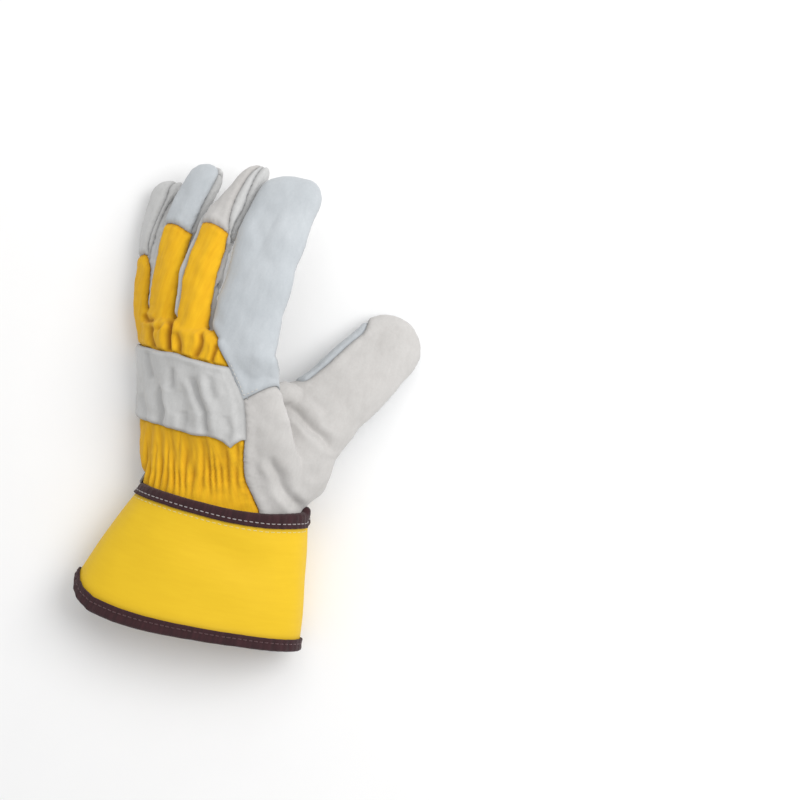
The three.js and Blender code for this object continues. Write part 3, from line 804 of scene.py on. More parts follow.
def noise_node(tree, vector, scale, detail, roughness=0.5, stretch=None):
    if stretch:
        mapping = tree.nodes.new("ShaderNodeMapping")
        mapping.inputs["Scale"].default_value = stretch
        tree.links.new(vector, mapping.inputs["Vector"])
        vector = mapping.outputs[0]
    noise = added(tree, "ShaderNodeTexNoise", Scale=scale, Detail=detail, Roughness=roughness)
    tree.links.new(vector, noise.inputs["Vector"])
    return noise.outputs["Fac"]


def nap_group():
    """Napped split leather: cloudy tone, short fibres and fine pits"""
    group, start, end = node_group(
        "Split leather nap",
        [
            ("Vector", "NodeSocketVector", None),
            ("Cloud", "NodeSocketFloat", 45.0),
            ("Fibre", "NodeSocketFloat", 900.0),
        ],
        [("Tone", "NodeSocketFloat"), ("Height", "NodeSocketFloat")],
    )
    vector = start.outputs["Vector"]

    def grain(size, detail, roughness, stretch=None):
        noise = noise_node(group, vector, 1, detail, roughness, stretch)
        group.links.new(size, noise.node.inputs["Scale"])
        return noise

    cloud = grain(start.outputs["Cloud"], 4, 0.55)
    fibre = grain(start.outputs["Fibre"], 5, 0.65)
    strands = grain(start.outputs["Fibre"], 3, 0.6, (0.5, 0.16, 0.5))

    def half(value):
        return math_node(group, "MULTIPLY", value, 0.5)

    both = math_node(group, "ADD", half(fibre), half(strands))
    tone = math_node(group, "ADD", half(cloud), half(both))
    group.links.new(tone, end.inputs["Tone"])
    group.links.new(both, end.inputs["Height"])
    return group


def weave_group():
    """Woven threads on the piece's own cloth map: warp, weft and a diagonal rib"""
    group, start, end = node_group(
        "Woven cloth",
        [("Pitch", "NodeSocketFloat", 0.0006), ("Rib", "NodeSocketFloat", 0.5)],
        [("Threads", "NodeSocketFloat"), ("Height", "NodeSocketFloat")],
    )
    coords = group.nodes.new("ShaderNodeUVMap")
    coords.uv_map = "cloth"
    split = group.nodes.new("ShaderNodeSeparateXYZ")
    group.links.new(coords.outputs[0], split.inputs[0])
    turn = math_node(group, "DIVIDE", 2 * math.pi, start.outputs["Pitch"])
    u = math_node(group, "MULTIPLY", split.outputs[0], turn)
    v = math_node(group, "MULTIPLY", split.outputs[1], turn)
    warp = math_node(group, "SINE", u)
    weft = math_node(group, "SINE", v)
    rib = math_node(group, "SINE", math_node(group, "ADD", math_node(group, "MULTIPLY", u, 0.5), v))
    crossed = math_node(group, "MULTIPLY", warp, weft)
    rib_part = math_node(group, "MULTIPLY", rib, start.outputs["Rib"])
    height = math_node(group, "ADD", math_node(group, "MULTIPLY", crossed, 0.5), rib_part)
    slub = noise_node(group, coords.outputs[0], 420, 3, 0.6, (1.0, 0.12, 1.0))
    height = math_node(group, "ADD", height, slub)
    group.links.new(slub, end.inputs["Threads"])
    group.links.new(height, end.inputs["Height"])
    return group


nap = nap_group()
weave = weave_group()


def colour_mix(tree, factor, a, b):
    mix = tree.nodes.new("ShaderNodeMix")
    mix.data_type = "RGBA"
    tree.links.new(factor, mix.inputs[0])
    for socket, value in ((mix.inputs[6], a), (mix.inputs[7], b)):
        if isinstance(value, tuple):
            socket.default_value = (*value, 1)
        else:
            tree.links.new(value, socket)
    return mix.outputs[2]


def material_base(name, roughness, sheen):
    material = bpy.data.materials.new(name)
    material.use_nodes = True
    tree = material.node_tree
    shader = tree.nodes["Principled BSDF"]
    shader.inputs["Roughness"].default_value = roughness
    shader.inputs["Sheen Weight"].default_value = sheen
    shader.inputs["Sheen Roughness"].default_value = 0.6
    shader.inputs["Specular IOR Level"].default_value = 0.25
    return material, tree, shader


def seam_dirt_and_painted_shade_mask(tree):
    """One at a seam, fading to nothing a few millimetres from it: seam dirt and painted shade there, and
    painted shade in the folds of the cloth and the strap
    """
    attribute = tree.nodes.new("ShaderNodeAttribute")
    attribute.attribute_name = "seam"
    return attribute.outputs["Fac"]


def bump_into(tree, shader, height, strength, distance):
    bump = added(tree, "ShaderNodeBump", Strength=strength, Distance=distance)
    tree.links.new(height, bump.inputs["Height"])
    tree.links.new(bump.outputs[0], shader.inputs["Normal"])


def spread_tone(tree, tone, low, high):
    ramp = tree.nodes.new("ShaderNodeMapRange")
    ramp.inputs["From Min"].default_value = low
    ramp.inputs["From Max"].default_value = high
    tree.links.new(tone, ramp.inputs["Value"])
    return ramp.outputs[0]


def leather_finish(name, light, dark, seam_dirt_and_painted_shade_colour):
    material, tree, shader = material_base(name, 0.92, 0.25)
    coords = tree.nodes.new("ShaderNodeTexCoord")
    grain = tree.nodes.new("ShaderNodeGroup")
    grain.node_tree = nap
    tree.links.new(coords.outputs["Object"], grain.inputs["Vector"])
    tone = spread_tone(tree, grain.outputs["Tone"], 0.36, 0.64)
    base = colour_mix(tree, tone, dark, light)
    # Seam dirt and painted shade darken the leather at its seams
    tree.links.new(colour_mix(tree, seam_dirt_and_painted_shade_mask(tree), base, seam_dirt_and_painted_shade_colour), shader.inputs["Base Color"])
    bump_into(tree, shader, grain.outputs["Height"], 0.35, 0.0006)
    return material


def cloth_finish(name, light, dark, seam_dirt_and_painted_shade_colour, pitch, rib, roughness, sheen, relief):
    material, tree, shader = material_base(name, roughness, sheen)
    cloth = tree.nodes.new("ShaderNodeGroup")
    cloth.node_tree = weave
    cloth.inputs["Pitch"].default_value = pitch
    cloth.inputs["Rib"].default_value = rib
    tone = spread_tone(tree, cloth.outputs["Threads"], 0.3, 0.7)
    base = colour_mix(tree, tone, dark, light)
    # Seam dirt and painted shade at the cloth's edges, and painted shade in its folds
    tree.links.new(colour_mix(tree, seam_dirt_and_painted_shade_mask(tree), base, seam_dirt_and_painted_shade_colour), shader.inputs["Base Color"])
    bump_into(tree, shader, cloth.outputs["Height"], relief, 0.0002)
    return material


def thread_finish(name, colour):
    material, tree, shader = material_base(name, 0.7, 0.3)
    coords = tree.nodes.new("ShaderNodeTexCoord")
    twist = noise_node(tree, coords.outputs["Object"], 2600, 2)
    dark = tuple(0.6 * part for part in colour)
    tree.links.new(colour_mix(tree, twist, dark, colour), shader.inputs["Base Color"])
    return material


# The third colour of each leather and cloth finish is the seam dirt and painted shade laid on at its seams,
# and painted shade in its folds
cool_leather = leather_finish(
    "cool_split_leather", (0.52, 0.55, 0.575), (0.44, 0.47, 0.495), (0.22, 0.23, 0.24),
)
warm_leather = leather_finish(
    "warm_split_leather", (0.56, 0.545, 0.53), (0.47, 0.455, 0.44), (0.24, 0.23, 0.22),
)
pale_leather = leather_finish(
    "pale_split_leather", (0.60, 0.60, 0.595), (0.50, 0.50, 0.495), (0.23, 0.23, 0.23),
)
back_cloth = cloth_finish(
    "back_cloth", (0.86, 0.49, 0.012), (0.76, 0.40, 0.008), (0.28, 0.085, 0.002),
    pitch=0.0007, rib=0.6, roughness=0.85, sheen=0.05, relief=0.35,
)
cuff_cloth = cloth_finish(
    "cuff_cloth", (0.81, 0.525, 0.017), (0.785, 0.50, 0.015), (0.42, 0.24, 0.01),
    pitch=0.0008, rib=0.15, roughness=0.55, sheen=0.0, relief=0.18,
)
binding_tape = cloth_finish(
    "binding_tape", (0.048, 0.013, 0.017), (0.024, 0.007, 0.009), (0.02, 0.006, 0.007),
    pitch=0.0009, rib=0.3, roughness=0.8, sheen=0.1, relief=0.5,
)
white_thread = thread_finish("white_thread", (0.75, 0.73, 0.68))
grey_thread = thread_finish("grey_thread", (0.42, 0.38, 0.38))
yellow_thread = thread_finish("yellow_thread", (0.93, 0.80, 0.30))
maroon_thread = thread_finish("maroon_thread", (0.10, 0.035, 0.04))


# Skin and its panels

base_points, base_tris, base_normals = master_skin()
h_along, h_across, h_out, h_half, h_cup = place_on_hand(base_points)
on_finger = {
    name: place_on_limb(base_points, lambda at, finger=finger: finger_place(finger, at), -0.2, 1.2)
    for name, finger in fingers.items()
}
t_at, t_across, t_out, t_half = place_on_limb(base_points, thumb_place, 0.0, 1.15)

index_back_from = 0.645
index_edge_slope = 0.0075
wrist_end = -seam_allowance / palm_length
fabric_to = 0.975
past_tip = 1.2
hand_reach = 34
side_reach = 14
finger_reach = 14
little_side_drop = 3
drop_from = 0.75
tip_low = finger_thickness * 0.08
border = column(back_border, "along", "across", h_along) * h_half

# Sides of the fabric strips and of the fingertip pieces: a place along the finger, and the two sides in
# millimetres across it. The strips lean to the thumb side, as the fingers lie.
strip_sides = {
    "middle": [(0.0, -6.5, 12.5), (0.35, -6.5, 11.8), (0.62, -6.5, 11.0)],
    "ring": [(0.0, -6.5, 12.5), (0.35, -6.5, 12.0), (0.62, -6.5, 11.5)],
    "pinky": [(0.0, -7.5, 8.6), (0.25, -7.5, 8.0), (0.36, -7.5, 7.4), (0.45, -7.5, 3.2)],
}
tip_sides = {
    "middle": [
        (0.5, -8.0, 11.2), (0.6, -8.0, 11.0), (0.68, -8.0, 8.8),
        (0.76, -8.0, 7.4), (0.85, -7.5, 6.4), (1.0, -6.0, 5.5),
    ],
    "ring": [(0.5, -8.5, 12.5), (0.8, -8.5, 12.5), (1.0, -7.0, 12.0)],
    "pinky": [(0.4, -8.5, 6.0), (0.51, -8.5, 3.4), (0.66, -8.5, 4.6), (0.85, -8.0, 6.8), (1.0, -6.0, 6.0)],
}


def least(*levels):
    return np.minimum.reduce(np.broadcast_arrays(*levels))


def most(*levels):
    return np.maximum.reduce(np.broadcast_arrays(*levels))


def hand_level(low, high, side_low, side_high, thumb_drop=0.0):
    past = np.clip((np.abs(h_across) / h_half - drop_from) / (1 - drop_from), 0, 1)
    drop = past * np.where(h_across < 0, little_side_drop, thumb_drop)
    floor = h_cup - drop
    ends = least((h_along - low) * palm_length, (high - h_along) * palm_length)
    return least(ends, h_across - side_low, side_high - h_across, h_out - floor, hand_reach - h_out)


def finger_level(name, low, high, side_low, side_high, out_low, out_high):
    at, across, out, _ = on_finger[name]
    length = fingers[name]["length"]
    ends = least((at - low) * length, (high - at) * length)
    return least(ends, across - side_low, side_high - across, out - out_low, out_high - out)


def sides_of(table, name):
    places, lows, highs = zip(*table[name])
    at = on_finger[name][0]
    return np.interp(at, places, lows), np.interp(at, places, highs)


def limb_share(name, flatness):
    """How far points lie from a finger's middle line, as a share of its half width and half thickness"""
    _, across, out, half = on_finger[name]
    return np.hypot(across / half, out / (half * flatness))


def whole_sides(name, more):
    half = on_finger[name][3]
    return -half - more, half + more


tip_from = {name: 1 - fingertip_length / fingers[name]["length"] for name in fingers}
tip_from["middle"] -= 0.005
tip_from["ring"] -= 0.015
tip_from["pinky"] -= 0.07


def tip_border(name):
    """The seam between a strip and its fingertip piece bows towards the tip in its middle"""
    at, across, _, half = on_finger[name]
    return tip_from[name] + 2.2 / fingers[name]["length"] * (1 - (across / half) ** 2)


def tip_level(name):
    return finger_level(name, tip_border(name), past_tip, *sides_of(tip_sides, name), tip_low, finger_reach)


def front_level(name):
    """The front of a finger reaches in between the roots on its back, and stops at the palm seam below"""
    out = on_finger[name][2]
    low = 0.1 - 0.22 * smooth_step(out, -4, 2)
    return finger_level(name, low, past_tip, *whole_sides(name, 4.0), -finger_reach, finger_reach)


def thumb_level(low, back):
    """The thumb's outer piece covers its back up to a seam on the shoulder beside the index finger"""
    ends = least((t_at - low) * thumb_length, t_across + t_half + 2, t_half + finger_reach - t_across)
    shoulder = t_across + t_half * (0.74 + 0.5 * smooth_step(t_at, 0.8, 0.98))
    on_back = least(t_out, shoulder + 30 * (1 - smooth_step(t_at, 0.42, 0.52)))
    return least(ends, on_back if back else -on_back, hand_reach - np.abs(t_out))


thumb_side = h_half + side_reach
little_side = -h_half - side_reach
index_low = index_back_from + index_edge_slope * np.maximum(h_across - border, 0)
index_side = -on_finger["index"][3] - 2 + 12 * (1 - smooth_step(on_finger["index"][0], 0.0, 0.16))
index_own = 8 * (limb_share("middle", 0.79) - limb_share("index", 0.48))
index_own += 30 * (1 - smooth_step(on_finger["index"][0], 0.4, 0.5))
levels = {
    "index_back": most(
        hand_level(index_low, 1.06, border, thumb_side, 13.0 * (1 - smooth_step(h_along, 0.66, 0.92))),
        np.minimum(finger_level("index", 0.02, past_tip, index_side, 50, -tip_low, finger_reach), index_own),
    ),
    "back_fabric": most(
        hand_level(3 * wrist_end, fabric_to, little_side, border),
        *[finger_level(name, -0.05, tip_border(name), *sides_of(strip_sides, name), 0, finger_reach)
          for name in ("middle", "ring", "pinky")],
    ),
    "middle_tip": tip_level("middle"),
    "ring_tip": tip_level("ring"),
    "pinky_tip": tip_level("pinky"),
    "thumb_outer": most(
        hand_level(3 * wrist_end, index_low, border, thumb_side, finger_reach),
        thumb_level(0.12, True),
    ),
    "thumb_inner": thumb_level(0.42, False),
    **{f"{name}_front": front_level(name) for name in fingers},
    "palm_leather": np.full(len(base_points), 50.0),
}
taken = np.full(len(base_points), -50.0)
for name in levels:
    own = levels[name]
    levels[name] = np.minimum(own, -taken)
    taken = np.maximum(taken, own)

strap_edge = waves(base_points, 22, 61) * 0.5
strap_level = least(
    hand_level(0.3, 0.86, little_side, border + 0.9),
    outline_inside(base_points[:, :2], strap_outline) + strap_edge,
)

up_facing = smooth_step(base_normals[:, 2], 0.05, 0.4)
down_facing = smooth_step(-base_normals[:, 2], 0.05, 0.4)
base_relief = 0.45 * waves(base_points, 30, 11) + 0.16 * waves(base_points, 9, 12)
on_back = fold_relief(base_points, up_facing, back_folds)
on_palm = fold_relief(base_points, down_facing, palm_folds)
base_relief += on_back + on_palm
joint_folds = ((0.22, 1.1), (0.27, 0.6), (0.48, 1.1), (0.53, 0.6), (0.75, 0.9))
for name in fingers:
    at, across, out, half = on_finger[name]
    near = smooth_step(half + 4 - np.abs(across), 0, 3) * smooth_step(14 - np.abs(out), 0, 3) * (out < 0)
    for joint, depth in joint_folds:
        off = (at - joint) * fingers[name]["length"] + 0.9 * waves(base_points, 12, 13)
        base_relief -= depth * near * np.exp(-((off / 1.5) ** 2)) * np.clip(-out / 6, 0, 1)

open_level = (h_along - wrist_end) * palm_length
open_level = np.where(h_along < 0.3, open_level, 50.0)
base_extras = np.column_stack([base_normals, h_along, h_across, base_relief, strap_level, border - h_across])


def edge_distance(points, tris):
    """Distance of every point from the edge of its panel"""
    edges = np.sort(np.concatenate([tris[:, [0, 1]], tris[:, [1, 2]], tris[:, [2, 0]]]), 1)
    unique, counts = np.unique(edges, axis=0, return_counts=True)
    rim = np.unique(unique[counts == 1])
    tree = KDTree(len(rim))
    for i in rim:
        tree.insert(points[i], int(i))
    tree.balance()
    return np.array([tree.find(point)[2] for point in points])


def seam_shape(edge, depth, width=1.25):
    """A turned seam: the edge sinks in, with a soft shoulder behind it"""
    return -depth * np.exp(-((edge / width) ** 2)) + 0.22 * depth * np.exp(-(((edge - 3.2) / 1.8) ** 2))


def puckers(points, edge, size, depth, reach, seed):
    return -depth * np.abs(waves(points, size, seed)) * np.exp(-edge / reach)


def cut_panel(name, level=None, fine=False):
    """A panel's points, faces and the measures its shaping needs"""
    level = np.minimum(levels[name] if level is None else level, open_level)
    points, tris, values = clipped(base_points, base_tris, level - 0.02, base_extras)
    points, tris, values = large_parts(points, tris, values, 40)
    if fine:
        points, tris, values = divided(points, tris, values)
    on = dict(
        normal=unit(values[:, :3]),
        along=values[:, 3],
        across=values[:, 4],
        relief=values[:, 5],
        strap=values[:, 6],
        border=values[:, 7],
        edge=edge_distance(points, tris),
    )
    return points, tris, on


def leather_panel(name, finish, depth=1.15, pucker=0.3, lap=0.0):
    """A skin panel of leather. A lapped one lies over its neighbour with a raised edge."""
    points, tris, on = cut_panel(name)
    lift = on["relief"] + seam_shape(on["edge"], depth) + puckers(points, on["edge"], 3.6, pucker, 3.5, 21)
    lift += lap * np.exp(-((on["edge"] / 5.0) ** 2))
    moved = points + on["normal"] * lift[:, None]
    # Seam dirt and painted shade along the panel's edge
    finished(name + "_piece", moved, tris, finish, [name], wall=leather - 0.2,
             seam=0.7 * np.exp(-on["edge"] / 0.9))
    return moved, tris, on


# The line of the elastic across the wrist, seen from above
elastic_rise = 0.361
elastic_at = 81.1


def gather_relief(points, on):
    """Folds that the elastic draws up, deepest at the elastic and fading at their own lengths"""
    across = on["across"][:, None]
    off = points[:, 1] - elastic_at - elastic_rise * points[:, 0]
    place = np.column_stack([across, off * 0.12])
    turn = (across[:, 0] - 0.3 * off) / 4.7 + 0.30 * waves(place, 18, 41)
    fold = np.sqrt(np.sin(math.pi * turn) ** 2 + 0.03)
    reach_up = np.maximum(13 + 9 * waves(across, 9, 43), 6)
    fade = np.where(off > 0, np.exp(-((off / reach_up) ** 2)), np.exp(-((off / 8.5) ** 2)))
    wide = (across[:, 0] - 0.25 * off) / 11 + 0.3 * waves(place, 30, 44)
    long_fold = np.sqrt(np.sin(math.pi * wide) ** 2 + 0.05)
    return 2.1 * fade * (fold - 0.8) + 1.5 * (long_fold - 0.85) * np.exp(-(((off - 16) / 15) ** 2))


def back_fabric_piece():
    points, tris, on = cut_panel("back_fabric")
    in_hand = smooth_step(on["edge"], 0, 2.5)
    folds = fold_relief(points, np.ones(len(points)), fabric_folds)
    under_strap = smooth_step(on["strap"], -1.5, 0.8)
    gathers = gather_relief(points, on) * in_hand * (1 - under_strap)
    lift = on["relief"] * 0.7 + seam_shape(on["edge"], 1.0) + puckers(points, on["edge"], 3.4, 0.35, 4.0, 22)
    lift += gathers + folds * (1 - under_strap) + 0.2 * waves(points, 7, 23) - 1.0 * under_strap
    moved = points + on["normal"] * lift[:, None]
    uv = np.column_stack([on["across"], on["along"] * palm_length])
    # Painted shade in the folds and between the gathers, laid on the seam dirt and painted shade along the
    # edge
    painted_crease_shade = 0.85 * np.clip(-folds / 2.4, 0, 1) + 0.5 * np.clip(-gathers / 2.0, 0, 1)
    finished("back_fabric_piece", moved, tris, back_cloth, ["back_fabric"], wall=1.1, uv=uv,
             seam=np.clip(0.7 * np.exp(-on["edge"] / 0.9) + painted_crease_shade * (1 - under_strap), 0, 1))


def strap_piece():
    """The strap runs in under the seam at its thumb end, and lies free at its other edges"""
    points, tris, on = cut_panel("back_fabric", strap_level, fine=True)
    edge = on["edge"]
    at_seam = 1 - smooth_step(on["border"], 0, 6)
    plan = np.column_stack([on["across"], on["along"] * palm_length * 0.3])
    folds = fold_relief(points, np.ones(len(points)), strap_folds) * (1 - at_seam)
    lift = lay_gap + strap_thickness + on["relief"] * 0.5 + 0.35 * np.exp(-(((edge - 2.0) / 1.6) ** 2))
    lift += 0.6 * waves(plan, 15, 24) * smooth_step(edge, 0, 5) + folds
    lift -= 0.9 * np.exp(-((edge / 0.9) ** 2)) * (1 - at_seam) + 1.5 * at_seam
    lift = np.maximum(lift, 0.25)
    moved = points + on["normal"] * lift[:, None]
    # Seam dirt and painted shade along the strap's edge, and painted shade in its folds
    seam = 0.7 * np.exp(-edge / 0.7) + 0.3 * np.clip(-folds / 2, 0, 1)
    finished("knuckle_strap_piece", moved, tris, pale_leather, ["knuckle_strap"],
             wall=strap_thickness - 0.1, seam=np.clip(seam, 0, 1))


index_back = leather_panel("index_back", cool_leather, depth=0.5, pucker=0.12, lap=1.1)
back_fabric_piece()
for tip_name, tip_finish in (("middle", warm_leather), ("ring", cool_leather), ("pinky", pale_leather)):
    leather_panel(f"{tip_name}_tip", tip_finish, pucker=0.4)
leather_panel("thumb_outer", warm_leather, depth=0.8, lap=0.8)
leather_panel("thumb_inner", cool_leather)
for front_name in fingers:
    leather_panel(f"{front_name}_front", pale_leather, pucker=0.4)
leather_panel("palm_leather", pale_leather)
strap_piece()


# Cuff, its bindings and the tab

cuff_around = 300
cuff_down = 64


def grid_faces(rows, count, ends_meet=False, turned=False):
    """Quads between rings of points. turned faces them the other way."""
    ids = np.arange(rows * count).reshape(rows, count)
    if ends_meet:
        ids = np.concatenate([ids, ids[:1]])
    following = np.roll(ids, -1, 1)
    quads = np.stack([ids[:-1], following[:-1], following[1:], ids[1:]], -1).reshape(-1, 4)
    return quads[:, ::-1] if turned else quads


def round_lengths(rings):
    lengths = np.linalg.norm(np.diff(rings, axis=0, append=rings[:1]), axis=-1)
    return np.concatenate([[0], np.cumsum(lengths)[:-1]])


cuff_angles = np.linspace(0, 2 * math.pi, cuff_around, endpoint=False)


def cuff_piece():
    downs = np.linspace(0, cuff_height, cuff_down)
    points = cuff_point(downs[:, None], cuff_angles[None, :], 0)
    uv = stack(downs[:, None], round_lengths(points[-1])[None, :], 0)[..., :2].reshape(-1, 2)
    faces = grid_faces(cuff_down, cuff_around)
    # Seam dirt and painted shade on the cloth beside the top and rim bindings
    top = np.exp(-np.abs(downs - top_binding_width) / 1.2)
    rim = np.exp(-np.abs(downs - cuff_height + rim_binding_width) / 1.2)
    seam = np.repeat(0.55 * np.maximum(top, rim), cuff_around)
    finished("safety_cuff_piece", points.reshape(-1, 3), faces, cuff_cloth, ["safety_cuff"],
             wall=cuff_wall, uv=uv, seam=seam)


def folded_binding(name, node, edge, width, into):
    """Tape folded over an edge of the cuff, with a rounded fold and puckered by its stitches"""
    face = lay_gap + binding_thickness
    middle = -cuff_wall / 2
    reach = middle - (-cuff_wall - face)
    turn = np.linspace(0, math.pi, 11)
    fold = [(edge - into * 0.8 * reach * math.sin(a), middle + reach * math.cos(a)) for a in turn]
    outer = [(edge + into * width * t, face) for t in (1.0, 0.97, 0.8, 0.6, 0.45, 0.3, 0.12)]
    outer[0] = (edge + into * width, face - 0.35)
    inner = [(down, 2 * middle - grow) for down, grow in outer[::-1]]
    profile = outer + fold + inner
    profile += [(edge + into * width * 0.98, -cuff_wall - lay_gap), (edge, -cuff_wall - lay_gap)]
    profile += [(edge, lay_gap), (edge + into * width * 0.98, lay_gap)]
    downs, grows = np.array(profile).T
    stitched = np.exp(-(((downs - edge) * into - width * 0.5) / 1.0) ** 2) * (grows > lay_gap + 0.5)
    ripple = 0.10 * np.sin(cuff_angles * 52) + 0.12 * waves(cuff_angles[:, None] * 45, 6, 71)
    outward = np.where(grows > 0, 1.0, -1.0)[:, None]
    grow = grows[:, None] + outward * ripple[None, :] - 0.35 * stitched[:, None]
    rings = cuff_point(downs[:, None], cuff_angles[None, :], grow)
    lengths = np.concatenate([[0], np.cumsum(np.hypot(np.diff(downs), np.diff(grows)))])
    uv = stack(round_lengths(rings[0])[None, :], lengths[:, None], 0)[..., :2].reshape(-1, 2)
    faces = grid_faces(len(profile), cuff_around, ends_meet=True, turned=into > 0)
    finished(name, rings.reshape(-1, 3), faces, binding_tape, [node], uv=uv)


def tab_piece():
    """The palm's leather tab, laid over the under side of the cuff"""
    downs = np.linspace(-8, 30, 96)
    angles = np.linspace(1.0 * math.pi, 2 * math.pi, 240)
    grid = cuff_point(downs[:, None], angles[None, :], lay_gap + tab_thickness)
    rows, count = len(downs), len(angles)
    ids = np.arange(rows * count).reshape(rows, count)
    quads = np.stack([ids[:-1, :-1], ids[1:, :-1], ids[1:, 1:], ids[:-1, 1:]], -1).reshape(-1, 4)
    tris = np.concatenate([quads[:, :3], quads[:, [0, 2, 3]]])
    points = grid.reshape(-1, 3)
    level = outline_inside(points[:, :2], tab_outline)
    level = np.minimum(level, np.repeat(downs + 7.5, count))
    points, tris, _ = clipped(points, tris, level, np.zeros((len(points), 1)))
    edge = edge_distance(points, tris)
    points = points + np.array([0, 0, 1.0]) * (0.6 * np.exp(-((edge / 0.8) ** 2)))[:, None]
    points[:, 2] = np.minimum(points[:, 2], 40)
    # Seam dirt and painted shade along the tab's edge
    finished("palm_tab_piece", points, tris, pale_leather, ["palm_tab"], wall=tab_thickness,
             seam=np.exp(-edge / 0.8))


cuff_piece()
folded_binding("cuff_binding_top_piece", "cuff_binding_top", 0, top_binding_width, 1)
folded_binding("cuff_binding_bottom_piece", "cuff_binding_bottom", cuff_height, rim_binding_width, -1)
tab_piece()


# Stitches

def stitch_row(name, points, normals, pitch, length, radius, finish, lift=0.1):
    """Even stitches along a line, each a short thread that dives at both ends"""
    lengths = np.concatenate([[0], np.cumsum(np.linalg.norm(np.diff(points, axis=0), axis=-1))])
    starts = np.arange(pitch * 0.3, lengths[-1] - length, pitch)
    sample = lambda values, at: np.column_stack([np.interp(at, lengths, values[:, i]) for i in range(3)])
    shares = np.array([0, 0.12, 0.5, 0.88, 1.0])
    heights = np.array([-0.9, 0.1, 0.55, 0.1, -0.9]) * radius + lift
    widths = np.array([0.5, 0.95, 1.0, 0.95, 0.5]) * radius
    sides = 6
    angles = np.arange(sides) / sides * 2 * math.pi
    rings = []
    for share, height, width in zip(shares, heights, widths):
        at = starts + share * length
        middle = sample(points, at)
        up = unit(sample(normals, at))
        way = unit(sample(points, at + 0.2) - sample(points, at - 0.2))
        side = unit(np.cross(way, up))
        middle = middle + up * height
        ring = middle[:, None] + width * (np.cos(angles)[None, :, None] * side[:, None]
                                          + np.sin(angles)[None, :, None] * up[:, None])
        rings.append(ring)
    rings = np.stack(rings, 1)
    one = grid_faces(len(shares), sides, turned=True)
    tris = np.concatenate([one[:, :3], one[:, [0, 2, 3]]])
    first = np.array([[0, i, i + 1] for i in range(1, sides - 1)])
    last = np.array([[0, i + 1, i] for i in range(1, sides - 1)]) + sides * (len(shares) - 1)
    tris = np.concatenate([tris, first, last])
    each = len(shares) * sides
    faces = (tris[None] + np.arange(len(starts))[:, None, None] * each).reshape(-1, 3)
    finished(name, rings.reshape(-1, 3), faces, finish)


def cuff_line(down, grow, low=0.0, high=2 * math.pi, count=400):
    """Points and outward directions along the cuff at a distance from its top edge"""
    angles = np.linspace(low, high, count)
    points = cuff_point(down, angles, grow)
    outward = unit(cuff_point(down, angles, grow + 1.0) - points)
    return points, outward


def binding_stitches():
    face = lay_gap + binding_thickness
    points, outward = cuff_line(top_binding_width * 0.55, face - 0.35)
    stitch_row("top_binding_stitches", points, outward, 3.0, 2.1, 0.3, grey_thread)
    points, outward = cuff_line(top_binding_width + 2.0, 0, 0, math.pi)
    stitch_row("cuff_top_stitches", points, outward, 3.2, 2.2, 0.22, yellow_thread, lift=0.02)
    points, outward = cuff_line(cuff_height - 2.6, face - 0.35)
    stitch_row("rim_binding_stitches", points, outward, 3.0, 2.1, 0.28, maroon_thread)


def near_line(points, line, reach):
    distance, _ = polyline_distance(points[:, :2], line)
    return distance < reach


# The index finger's hem, seen from above
index_hem = [(-17.2, 158.2), (-15.6, 152.4), (-14.5, 145.2), (-13.0, 138.0), (-12.0, 131.4), (-9.6, 124.0),
             (-7.6, 122.6), (0.0, 125.0), (9.5, 128.5)]


def hem_stitches():
    """Fine stitches along the lapped edge of the index finger's back"""
    moved, tris, on = index_back
    lines = level_lines(moved, tris, on["edge"] - 1.7, on["normal"])
    for i, (points, normals) in enumerate(lines):
        near = near_line(points, index_hem, 5.0) & (normals[:, 2] > 0.1)
        if near.sum() < 20:
            continue
        start = int(np.argmin(near))
        points, normals, near = (np.roll(values, -start, 0) for values in (points, normals, near))
        points, normals = points[near], normals[near]
        stitch_row(f"index_hem_stitches_{i + 1}", points, normals, 2.4, 1.6, 0.2, white_thread,
                   lift=0.02)


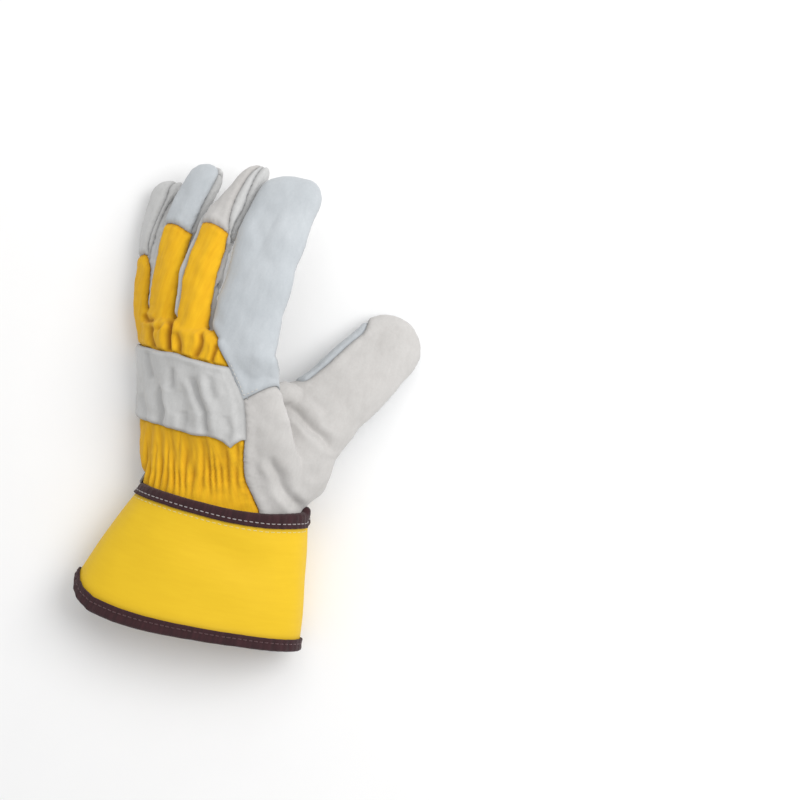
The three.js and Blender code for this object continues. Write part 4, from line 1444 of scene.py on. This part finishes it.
def tab_stitches():
    for i, down in enumerate((12.0, 16.0)):
        points, outward = cuff_line(down, lay_gap + tab_thickness, 1.22 * math.pi, 1.5 * math.pi, 120)
        inside = outline_inside(points[:, :2], tab_outline) > 2
        stitch_row(f"tab_stitches_{i + 1}", points[inside], outward[inside], 3.2, 2.2, 0.25, white_thread,
                   lift=0.0)


binding_stitches()
hem_stitches()
tab_stitches()


# Camera, light and floor

camera_height = 1020
camera_focus_height = 30
camera_aim = (73, 147.5)
camera_turn = 18 * degrees
lens = 85


def camera_piece():
    data = bpy.data.cameras.new("camera")
    data.lens = lens
    data.sensor_width = 36
    camera = bpy.data.objects.new("camera", data)
    bpy.context.collection.objects.link(camera)
    place = np.array([camera_aim[0], camera_aim[1], camera_height + camera_focus_height]) + shift
    camera.location = (place * mm).tolist()
    camera.rotation_euler = (0, 0, camera_turn)
    bpy.context.scene.camera = camera


def area_light(name, place, size, power):
    data = bpy.data.lights.new(name, "AREA")
    data.shape = "DISK"
    data.size = size
    data.energy = power
    light = bpy.data.objects.new(name, data)
    bpy.context.collection.objects.link(light)
    light.location = place
    x, y, z = place
    tilt = math.atan2(math.hypot(x, y), z)
    light.rotation_euler = (tilt, 0, math.atan2(-y, -x) - math.pi / 2)


def studio():
    world = bpy.data.worlds.new("studio")
    world.use_nodes = True
    world.node_tree.nodes["Background"].inputs[0].default_value = (1, 1, 1, 1)
    world.node_tree.nodes["Background"].inputs[1].default_value = 0.62
    bpy.context.scene.world = world
    bpy.context.scene.view_settings.view_transform = "Standard"
    area_light("key", (0.52, 0.42, 0.9), 0.8, 7.2)
    area_light("fill", (-0.15, 0.8, 1.2), 1.0, 3.5)
    bpy.ops.mesh.primitive_plane_add(size=6, location=(0, 0, 0))
    floor = bpy.context.active_object
    floor.name = "floor"
    material, tree, shader = material_base("floor_paper", 0.9, 0.0)
    coords = tree.nodes.new("ShaderNodeTexCoord")
    tone = noise_node(tree, coords.outputs["Object"], 40, 3)
    paper = colour_mix(tree, tone, (0.9, 0.9, 0.9), (0.92, 0.92, 0.92))
    tree.links.new(paper, shader.inputs["Base Color"])
    floor.data.materials.append(material)
    floor.select_set(False)


camera_piece()
studio()
